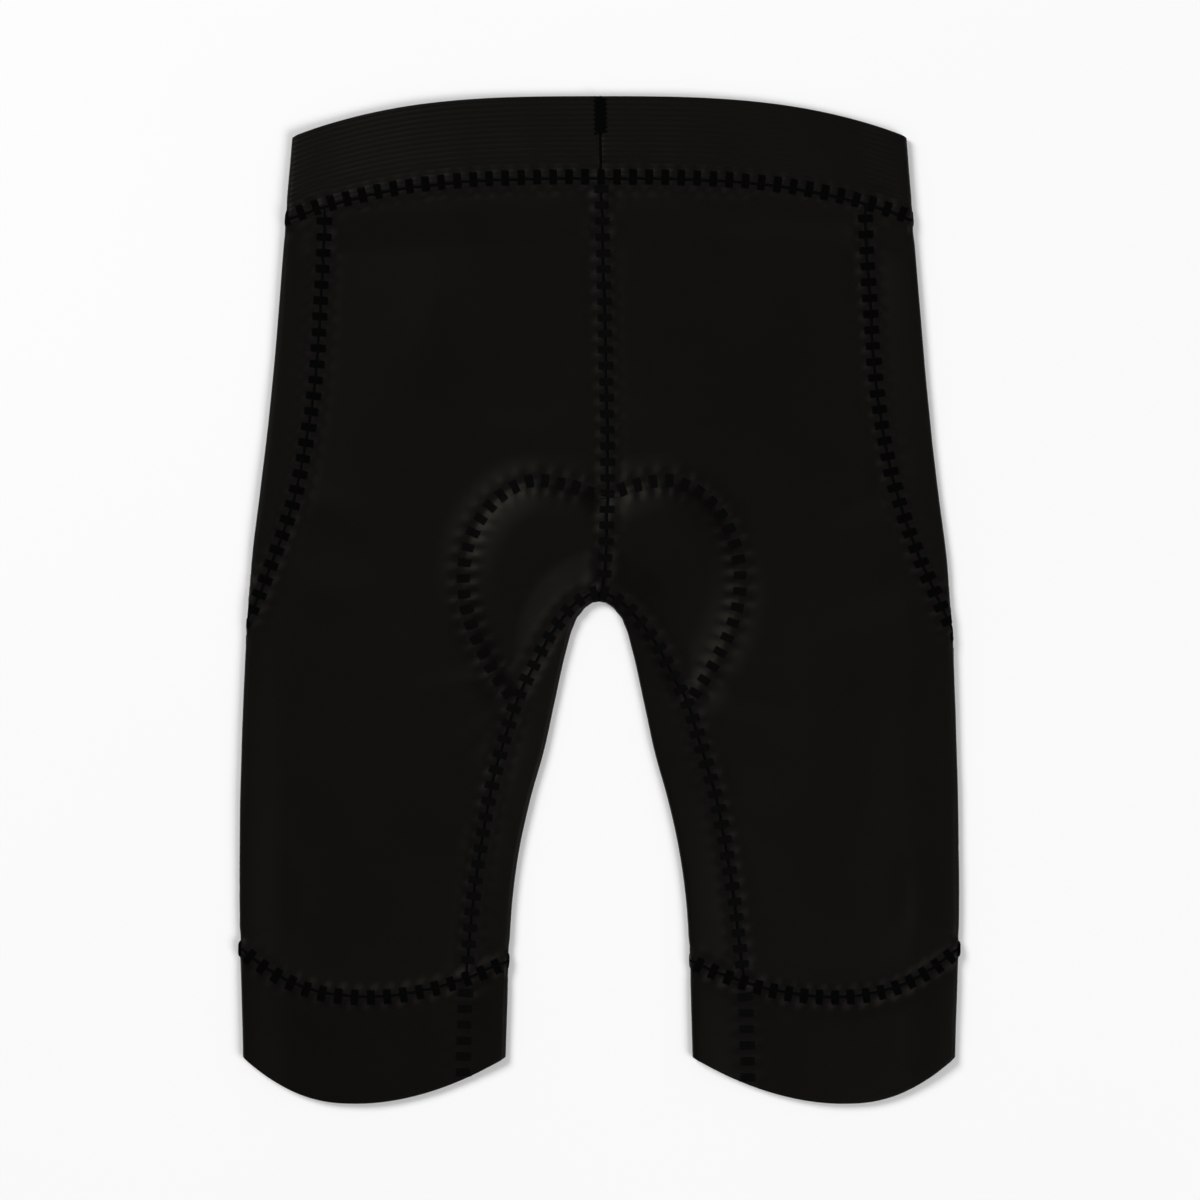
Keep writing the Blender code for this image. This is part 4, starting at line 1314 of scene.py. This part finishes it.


# The yarn's own near-black as painted shade between the loops, and lit as a painted highlight on their tops
SHADED_BLACK_YARN = (0.0008, 0.0007, 0.0005)
LIT_YARN = (0.0024, 0.0021, 0.0016)
SATIN = {
    "Specular IOR Level": 0.08,
    "Specular Tint": (1, 0.94, 0.82, 1),
    "Sheen Weight": 0.03,
    "Sheen Roughness": 0.35,
    "Sheen Tint": (1, 0.96, 0.9, 1),
}
KNIT = knit_material(
    "stretch_knit",
    wale=0.0009,
    course=0.0007,
    depth=0.00003,
    dark=SHADED_BLACK_YARN,
    light=LIT_YARN,
    roughness=(0.36, 0.50),
    shader=SATIN,
)
GRIPPER = knit_material(
    "gripper_knit",
    wale=0.0009,
    course=0.0012,
    depth=0.000025,
    dark=SHADED_BLACK_YARN,
    light=(0.0023, 0.0020, 0.0015),
    roughness=(0.35, 0.48),
    shader=SATIN,
)

# %% [markdown]
# ### Waist elastic
#
# Knitted elastic has cords of rubber running round the body, covered by the knit. It shows as shallow
# ribs along the band, so a slow wave across the band is added to the loops. It is bump, because a rib is
# far smaller than the band's own shape.

# %% Elastic, thread and foam
RIB_PITCH = 0.0026


def elastic_material():
    material, tree = start_material("elastic_knit")
    place = add_node(tree, "ShaderNodeUVMap", uv_map="cloth").outputs[0]
    surface = loops(tree, place, 0.0009, 0.0008)
    across = add_node(tree, "ShaderNodeSeparateXYZ", {0: place}).outputs[1]
    rib = maths(tree, "ABSOLUTE", maths(tree, "SINE", maths(tree, "MULTIPLY", across, np.pi / RIB_PITCH)))
    cloudy = noise_at(tree, place, 16.0, 3.0)
    # Painted highlight and shade: lighter on the loops' tops and darker between them, mixed with a random
    # cloudy tone; the ribs are in the bump alone
    share = maths(tree, "ADD", maths(tree, "MULTIPLY", surface, 0.5), maths(tree, "MULTIPLY", cloudy, 0.5))
    colour = shades(tree, share, SHADED_BLACK_YARN, LIT_YARN)
    rough = between(tree, cloudy, 0.36, 0.5)
    height = maths(tree, "MULTIPLY_ADD", surface, 0.00003, maths(tree, "MULTIPLY", rib, 0.00009))
    finish_material(tree, colour, rough, height, SATIN)
    return material


def thread_material(name, dark, light, shader):
    material, tree = start_material(name)
    place = add_node(tree, "ShaderNodeTexCoord").outputs["Object"]
    fibre = noise_at(tree, place, 4200.0, 2.0, 0.6)
    cloudy = noise_at(tree, place, 120.0)
    colour = shades(tree, maths(tree, "MULTIPLY", fibre, maths(tree, "ADD", cloudy, 0.5)), dark, light)
    rough = between(tree, fibre, 0.6, 0.95)
    finish_material(tree, colour, rough, maths(tree, "MULTIPLY", fibre, 0.00006), shader)
    return material


def foam_material():
    material, tree = start_material("pad_fleece")
    place = add_node(tree, "ShaderNodeTexCoord").outputs["Object"]
    nap = noise_at(tree, place, 1400.0, 3.0, 0.6)
    cloudy = noise_at(tree, place, 30.0)
    colour = shades(tree, maths(tree, "MULTIPLY", nap, cloudy), (0.010, 0.010, 0.010), (0.030, 0.030, 0.032))
    rough = between(tree, nap, 0.85, 1.0)
    finish_material(tree, colour, rough, maths(tree, "MULTIPLY", nap, 0.0002), {
        "Specular IOR Level": 0.2, "Sheen Weight": 0.2, "Sheen Roughness": 0.5
    })
    return material


ELASTIC = elastic_material()
FOAM = foam_material()
THREAD = {
    "dark": thread_material("dark_thread", (0.0004, 0.0006, 0.0005), (0.0014, 0.0018, 0.0016),
                            {"Specular IOR Level": 0.02}),
    "soft": thread_material("soft_thread", (0.0012, 0.0014, 0.0013), (0.0030, 0.0033, 0.0031),
                            {"Specular IOR Level": 0.03}),
}
for node, piece in PIECES.items():
    finish = {"waistband": ELASTIC, "leg": GRIPPER}.get(node.split("_")[0], KNIT)
    piece.data.materials.append(finish)
pad.data.materials.append(FOAM)
print("finishes:", sorted(material.name for material in bpy.data.materials if material.users))

# %% [markdown]
# ## Stitches
#
# A flat seam shows as bars of thread across it and a cord of thread along it. There are more than four
# hundred bars, each of six strands, so Geometry Nodes lay them. Each station on a seam becomes one bar of
# straight strands; every point of every strand is then moved to the nearest place on the cloth and lifted
# along the cloth's normal, highest in the middle, with both ends sunk where the needle went in. Straight
# strands that are laid this way follow the cloth round a fold as real thread does.

# %% The cloth that the thread is laid on
def outer_faces():
    """One open mesh of all the outer faces, up to their cut edges."""
    points, faces, first = [], [], 0
    for outer, normals, ring in SURFACES:
        rows, columns = outer.shape[:2]
        ids = first + np.arange(rows * columns).reshape(rows, columns)
        if ring:
            ids = np.concatenate([ids, ids[:, :1]], axis=1)
        quads = np.stack([ids[:-1, :-1], ids[:-1, 1:], ids[1:, 1:], ids[1:, :-1]], axis=-1).reshape(-1, 4)
        a, b, c = (outer.reshape(-1, 3)[quads[:, i] - first] for i in (0, 1, 3))
        if (np.cross(b - a, c - a) * normals.reshape(-1, 3)[quads[:, 0] - first]).sum() < 0:
            quads = quads[:, ::-1]
        points.append(outer.reshape(-1, 3) * MM)
        faces.append(quads)
        first += rows * columns
    mesh = bpy.data.meshes.new("laying_surface")
    mesh.from_pydata(np.concatenate(points).tolist(), [], np.concatenate(faces).tolist())
    mesh.shade_smooth()
    return add_object("laying_surface", mesh)


laying_surface = outer_faces()
print("laying surface:", len(laying_surface.data.polygons), "faces")

# %% Helpers for Geometry Nodes
def new_tree(name, inputs):
    tree = bpy.data.node_groups.new(name, "GeometryNodeTree")
    tree.interface.new_socket("Geometry", in_out="INPUT", socket_type="NodeSocketGeometry")
    for label, kind in inputs.items():
        tree.interface.new_socket(label, in_out="INPUT", socket_type="NodeSocket" + kind)
    tree.interface.new_socket("Geometry", in_out="OUTPUT", socket_type="NodeSocketGeometry")
    return tree, tree.nodes.new("NodeGroupInput").outputs


def lay_on_cloth(tree, given, strands, arch):
    """Lays strands on the cloth and makes them round: arch is 0 at a strand's ends, 1 where it is highest."""
    cloth = add_node(tree, "GeometryNodeObjectInfo", {"Object": given["Cloth"]}).outputs["Geometry"]
    nearest = add_node(tree, "GeometryNodeProximity", {"Geometry": cloth}).outputs["Position"]
    normal = add_node(tree, "GeometryNodeInputNormal").outputs["Normal"]
    facing = add_node(
        tree, "GeometryNodeSampleNearestSurface", {"Mesh": cloth, "Value": normal}, data_type="FLOAT_VECTOR"
    ).outputs["Value"]
    lift = between(tree, arch, given["Sink"], given["Rise"])
    raised = vector_maths(tree, "SCALE", {0: facing, "Scale": lift})
    place = vector_maths(tree, "ADD", {0: nearest, 1: raised})
    laid = add_node(tree, "GeometryNodeSetPosition", {"Geometry": strands, "Position": place}).outputs[0]
    profile = add_node(
        tree, "GeometryNodeCurvePrimitiveCircle", {"Resolution": 6, "Radius": given["Thread Radius"]}
    ).outputs["Curve"]
    tube = add_node(
        tree, "GeometryNodeCurveToMesh", {"Curve": laid, "Profile Curve": profile, "Fill Caps": True}
    ).outputs[0]
    smooth_tube = add_node(tree, "GeometryNodeSetShadeSmooth", {"Geometry": tube}).outputs[0]
    realized = add_node(tree, "GeometryNodeRealizeInstances", {"Geometry": smooth_tube}).outputs[0]
    finished = add_node(
        tree, "GeometryNodeSetMaterial", {"Geometry": realized, "Material": given["Material"]}
    ).outputs[0]
    add_node(tree, "NodeGroupOutput", {"Geometry": finished})


# %% Tree for the bars
BAR_INPUTS = {
    "Cloth": "Object",
    "Bar Length": "Float",
    "Bar Width": "Float",
    "Strands": "Int",
    "Thread Radius": "Float",
    "Rise": "Float",
    "Sink": "Float",
    "Waver": "Float",
    "Seed": "Int",
    "Material": "Material",
}


def bars_tree():
    tree, given = new_tree("seam_bars", BAR_INPUTS)
    line = add_node(
        tree, "GeometryNodeCurvePrimitiveLine", {"Start": (-0.5, 0, 0), "End": (0.5, 0, 0)}
    ).outputs["Curve"]
    strand = add_node(tree, "GeometryNodeResampleCurve", {"Curve": line, "Count": 9}).outputs["Curve"]
    gaps = maths(tree, "SUBTRACT", given["Strands"], 1.0)
    clear = maths(tree, "SUBTRACT", given["Bar Width"], maths(tree, "MULTIPLY", given["Thread Radius"], 2.0))
    start = add_node(tree, "ShaderNodeCombineXYZ", {"Y": maths(tree, "MULTIPLY", clear, -0.5)}).outputs[0]
    step = add_node(tree, "ShaderNodeCombineXYZ", {"Y": maths(tree, "DIVIDE", clear, gaps)}).outputs[0]
    row = add_node(
        tree, "GeometryNodeMeshLine", {"Count": given["Strands"], "Start Location": start, "Offset": step}
    ).outputs["Mesh"]
    size = add_node(tree, "ShaderNodeCombineXYZ", {"X": given["Bar Length"], "Y": 1.0, "Z": 1.0}).outputs[0]
    bar = add_node(
        tree, "GeometryNodeInstanceOnPoints", {"Points": row, "Instance": strand, "Scale": size}
    ).outputs[0]
    up, along = (
        add_node(tree, "GeometryNodeInputNamedAttribute", {"Name": name}, data_type="FLOAT_VECTOR").outputs[0]
        for name in ("up", "along")
    )
    turn = add_node(
        tree,
        "FunctionNodeAxesToRotation",
        {"Primary Axis": up, "Secondary Axis": along},
        primary_axis="Z",
        secondary_axis="Y",
    ).outputs[0]
    uneven = add_node(
        tree,
        "FunctionNodeRandomValue",
        {"Min": (0.94, 0.93, 1.0), "Max": (1.05, 1.04, 1.0), "Seed": given["Seed"]},
        data_type="FLOAT_VECTOR",
    ).outputs[0]
    bars = add_node(
        tree,
        "GeometryNodeInstanceOnPoints",
        {"Points": given["Geometry"], "Instance": bar, "Rotation": turn, "Scale": uneven},
    ).outputs[0]
    strands = add_node(tree, "GeometryNodeRealizeInstances", {"Geometry": bars}).outputs[0]
    noise = add_node(tree, "ShaderNodeTexNoise", {"Scale": 900.0, "Detail": 1.0}).outputs["Color"]
    centred = vector_maths(tree, "SUBTRACT", {0: noise, 1: (0.5, 0.5, 0.5)})
    waver = vector_maths(tree, "SCALE", {0: centred, "Scale": given["Waver"]})
    loose = add_node(tree, "GeometryNodeSetPosition", {"Geometry": strands, "Offset": waver}).outputs[0]
    factor = add_node(tree, "GeometryNodeSplineParameter").outputs["Factor"]
    from_middle = maths(tree, "ABSOLUTE", maths(tree, "MULTIPLY_ADD", factor, 2.0, -1.0))
    arch = maths(tree, "SUBTRACT", 1.0, maths(tree, "POWER", from_middle, 5.0))
    lay_on_cloth(tree, given, loose, arch)
    return tree


# %% Tree for the cords that run along a seam
CORD_INPUTS = {
    "Cloth": "Object",
    "Step": "Float",
    "Thread Radius": "Float",
    "Rise": "Float",
    "Sink": "Float",
    "Material": "Material",
}


def cord_tree():
    tree, given = new_tree("seam_cord", CORD_INPUTS)
    line = add_node(tree, "GeometryNodeMeshToCurve", {"Mesh": given["Geometry"]}).outputs["Curve"]
    even = add_node(
        tree, "GeometryNodeResampleCurve", {"Curve": line, "Length": given["Step"]}, mode="LENGTH"
    ).outputs["Curve"]
    factor = add_node(tree, "GeometryNodeSplineParameter").outputs["Factor"]
    from_end = maths(tree, "MINIMUM", factor, maths(tree, "SUBTRACT", 1.0, factor))
    arch = maths(tree, "MINIMUM", maths(tree, "MULTIPLY", from_end, 80.0), 1.0)
    lay_on_cloth(tree, given, even, arch)
    return tree


# %% Using a tree once and keeping only its mesh
def grown(name, carrier, tree, values):
    """The plain mesh that a tree makes on a carrier mesh, as a new object."""
    base = add_object(name + "_carrier", carrier)
    modifier = base.modifiers.new(tree.name, "NODES")
    modifier.node_group = tree
    for socket in tree.interface.items_tree:
        if socket.item_type == "SOCKET" and socket.in_out == "INPUT" and socket.name in values:
            modifier[socket.identifier] = values[socket.name]
    evaluated = base.evaluated_get(bpy.context.evaluated_depsgraph_get())
    mesh = bpy.data.meshes.new_from_object(evaluated)
    mesh.name = name
    base.modifiers.remove(modifier)
    bpy.data.objects.remove(base)
    piece = add_object(name, mesh)
    triangles = sum(len(p.vertices) - 2 for p in mesh.polygons)
    print(f"{name}: {triangles} triangles")
    return piece


def stations(seams, shift):
    """A mesh of loose points, one for each bar, which know the seam's direction and the cloth's facing."""
    places, along, up = [], [], []
    for seam in seams:
        facing, forward, middle = (
            on_line(seam[name], seam["arc"], seam["bars"]) for name in ("up", "along", "points")
        )
        across = np.cross(facing, forward)
        places.append(middle + shift * across * np.sign(across[:, 1:2]))
        along.append(forward)
        up.append(facing)
    mesh = bpy.data.meshes.new("stations")
    mesh.from_pydata((np.concatenate(places) * MM).tolist(), [], [])
    for name, vectors in (("along", along), ("up", up)):
        attribute = mesh.attributes.new(name, "FLOAT_VECTOR", "POINT")
        attribute.data.foreach_set("vector", np.concatenate(vectors).astype(np.float32).ravel())
    return mesh


def path(lines):
    """A mesh of open lines."""
    points, edges, first = [], [], 0
    for line in lines:
        points.append(line * MM)
        edges += [(first + i, first + i + 1) for i in range(len(line) - 1)]
        first += len(line)
    mesh = bpy.data.meshes.new("path")
    mesh.from_pydata(np.concatenate(points).tolist(), edges, [])
    return mesh


# %% Sizes of the thread
BAR_STRANDS = 6
BAR_THREAD = {"Thread Radius": 0.31, "Rise": 0.20, "Sink": -0.45, "Waver": 0.22}
PAD_THREAD = {**BAR_THREAD, "Rise": 0.45}
SLACK_THREAD = {**BAR_THREAD, "Rise": 0.8}
CORE_THREAD = {"Thread Radius": 0.95, "Rise": -0.52, "Sink": -0.9, "Step": 1.6}
JOIN_THREAD = {"Thread Radius": 0.5, "Rise": -0.2, "Sink": -0.2, "Step": 1.6}
TACK_THREAD = {"Thread Radius": 0.42, "Rise": 0.55, "Sink": 0.1, "Step": 0.55}
TACK_CORE_THREAD = {"Thread Radius": 0.45, "Rise": 0.1, "Sink": -0.3, "Step": 1.5}


def in_metres(sizes):
    return {name: size * MM for name, size in sizes.items()}


bars = bars_tree()
cord = cord_tree()


def sew_bars(name, kind, seams, thread):
    sizes = BARS[kind]
    values = {
        "Cloth": laying_surface,
        "Bar Length": sizes["length"] * MM,
        "Bar Width": sizes["width"] * MM,
        "Strands": BAR_STRANDS,
        "Seed": list(BARS).index(kind),
        "Material": THREAD[sizes["shade"]],
        **in_metres(thread),
    }
    return grown(name, stations(seams, sizes.get("shift", 0.0)), bars, values)


def sew_cord(name, lines, sizes):
    values = {"Cloth": laying_surface, "Material": THREAD["dark"], **in_metres(sizes)}
    return grown(name, path(lines), cord, values)


def seams_of(kind):
    return [seam for seam in SEAMS.values() if seam["kind"] == kind]


# %% Bars and cords on the seams
THREADS = {}
slack = []
for seam in seams_of("leg"):
    outermost = np.abs(on_line(seam["points"], seam["arc"], seam["bars"])[:, 0]).argmax()
    slack.append({**seam, "bars": seam["bars"][[outermost]]})
    seam["bars"] = np.delete(seam["bars"], outermost)
THREADS["slack"] = sew_bars("slack_bars", "leg", slack, SLACK_THREAD)
for kind in BARS:
    thread = PAD_THREAD if kind == "pad" else BAR_THREAD
    THREADS[kind] = sew_bars(f"{kind}_bars", kind, seams_of(kind), thread)
for kind in ("waistband", "side", "leg", "centre", "crotch", "inner"):
    lines = [seam["points"] for seam in seams_of(kind)]
    THREADS[f"{kind}_cord"] = sew_cord(f"{kind}_cord", lines, CORE_THREAD)

# %% [markdown]
# ### The waistband's join
#
# The ends of the waistband meet at the centre back. A cord of thread fills the join, and the top of it,
# where the pull is hardest, is locked with a bartack: a few straight threads with one more that zigzags
# tightly over them.

# %% Cord and bartack at the centre back
TACK_WIDTH = 6.4
TACK_LENGTH = 18.4
TACK_TOOTH = 2.25
TACK_FROM_EDGE = 0.4
TACK_CORES = (-2.1, -1.3, -0.5, 0.5, 1.3, 2.1)

join = SEAMS["waist_join"]
teeth = round(2 * TACK_LENGTH / TACK_TOOTH)
corner = np.arange(teeth + 1)
down = TACK_FROM_EDGE + corner * TACK_LENGTH / teeth
side = np.where(corner % 2, 0.5, -0.5) * TACK_WIDTH
middle = on_line(join["points"], join["arc"], down)
zigzag = middle + side[:, None] * (1, 0, 0)
cores = [middle[1:-1] + (x, 0, 0) for x in TACK_CORES]
THREADS["tack"] = sew_cord("waist_tack", [zigzag], TACK_THREAD)
THREADS["tack_core"] = sew_cord("waist_tack_core", cores, TACK_CORE_THREAD)
THREADS["join_line"] = sew_cord("waist_join_line", [join["points"]], JOIN_THREAD)
bpy.data.objects.remove(laying_surface)

# %% [markdown]
# ## Floor, light and camera
#
# The shorts lie on a pale floor and are seen from straight above, so the camera hangs over their middle
# with a long lens, which keeps the edges as drafted. Black cloth shows its shape only by its sheen: a
# bright sky of even light would leave it flat, so one broad lamp comes in low from the upper left, and a
# weaker one fills the other side.

# %% Floor
STAGE_HALF = 12.0


def floor_material():
    material, tree = start_material("pale_floor")
    place = add_node(tree, "ShaderNodeTexCoord").outputs["Object"]
    colour = shades(tree, noise_at(tree, place, 3.0), (0.90, 0.90, 0.90), (0.92, 0.92, 0.92))
    rough = between(tree, noise_at(tree, place, 40.0), 0.8, 0.9)
    grain = maths(tree, "MULTIPLY", noise_at(tree, place, 300.0), 0.00001)
    finish_material(tree, colour, rough, grain, {"Specular IOR Level": 0.1})
    return material


lowest = min(v.co.z for piece in [*PIECES.values(), *THREADS.values()] for v in piece.data.vertices)
floor_mesh = bpy.data.meshes.new("floor")
corners = [(x * STAGE_HALF, y * STAGE_HALF, lowest) for x, y in ((-1, -1), (1, -1), (1, 1), (-1, 1))]
floor_mesh.from_pydata(corners, [], [(0, 1, 2, 3)])
floor_mesh.materials.append(floor_material())
floor = add_object("floor", floor_mesh)
floor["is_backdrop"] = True
print("floor at", round(lowest / MM, 2), "mm")

# %% Light
LAMPS = (
    ("key_lamp", (-3.2, 2.7, 4.0), 2.8, 246.0),
    ("fill_lamp", (3.3, -2.4, 4.1), 3.4, 196.0),
)
SKY_STRENGTH = 0.18


def aim(item, place):
    item.location = place
    item.rotation_euler = (-item.location).to_track_quat("-Z", "Y").to_euler()


for name, place, size, power in LAMPS:
    lamp = bpy.data.lights.new(name, "AREA")
    lamp.shape = "DISK"
    lamp.size = size
    lamp.energy = power
    lamp_object = bpy.data.objects.new(name, lamp)
    bpy.context.scene.collection.objects.link(lamp_object)
    aim(lamp_object, place)
world = bpy.data.worlds.new("soft_sky")
world.use_nodes = True
world.node_tree.nodes["Background"].inputs["Color"].default_value = (1.0, 1.0, 1.0, 1.0)
world.node_tree.nodes["Background"].inputs["Strength"].default_value = SKY_STRENGTH
bpy.context.scene.world = world
bpy.context.scene.view_settings.view_transform = "Standard"

# %% Camera
FRAME_WIDTH = 0.6
LENS = 150.0
SENSOR = 36.0
MIDDLE_X = 0.000375

camera = bpy.data.cameras.new("camera")
camera.lens = LENS
camera.sensor_width = SENSOR
camera_object = bpy.data.objects.new("camera", camera)
bpy.context.scene.collection.objects.link(camera_object)
camera_object.location = (MIDDLE_X, 0, FRAME_WIDTH * LENS / SENSOR + cad_high.z / 2)
bpy.context.scene.camera = camera_object
print("camera", round(camera_object.location.z, 2), "m above the floor")

# %% [markdown]
# ## What each piece is
#
# Each cloth piece stands for the plain solid it was made on, which is hidden; how large it was cut was
# worked out when it was made. The two back panels lie on the fronts and the pad, and the rest on the floor.

# %% Cloth sheets
UNDER = {
    "back_left": ["front_left_cloth", "seat_pad_foam"],
    "back_right": ["front_right_cloth", "seat_pad_foam"],
}
SLOTS = {"waistband": "waist_elastic", "leg": "leg_gripper"}
for node, piece in PIECES.items():
    flat, area = CUT[node]
    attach(piece, "root")
    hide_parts(node)
    SLOTS.get(node.split("_")[0], "knit")
    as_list(UNDER.get(node, ["floor"]))

# %% Pad and thread
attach(pad, "root")
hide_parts("seat_pad")
for piece in THREADS.values():
    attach(piece, "root")

# %% Compare the boxes and finish
low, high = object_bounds()
for label, box in (("cloth box", high - low), ("frame box", cad_high - cad_low)):
    print(f"{label}:", [round(c / MM, 1) for c in box], "mm")
triangles = sum(len(p.vertices) - 2 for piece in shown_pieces() for p in piece.data.polygons)
print("triangles in all:", triangles)
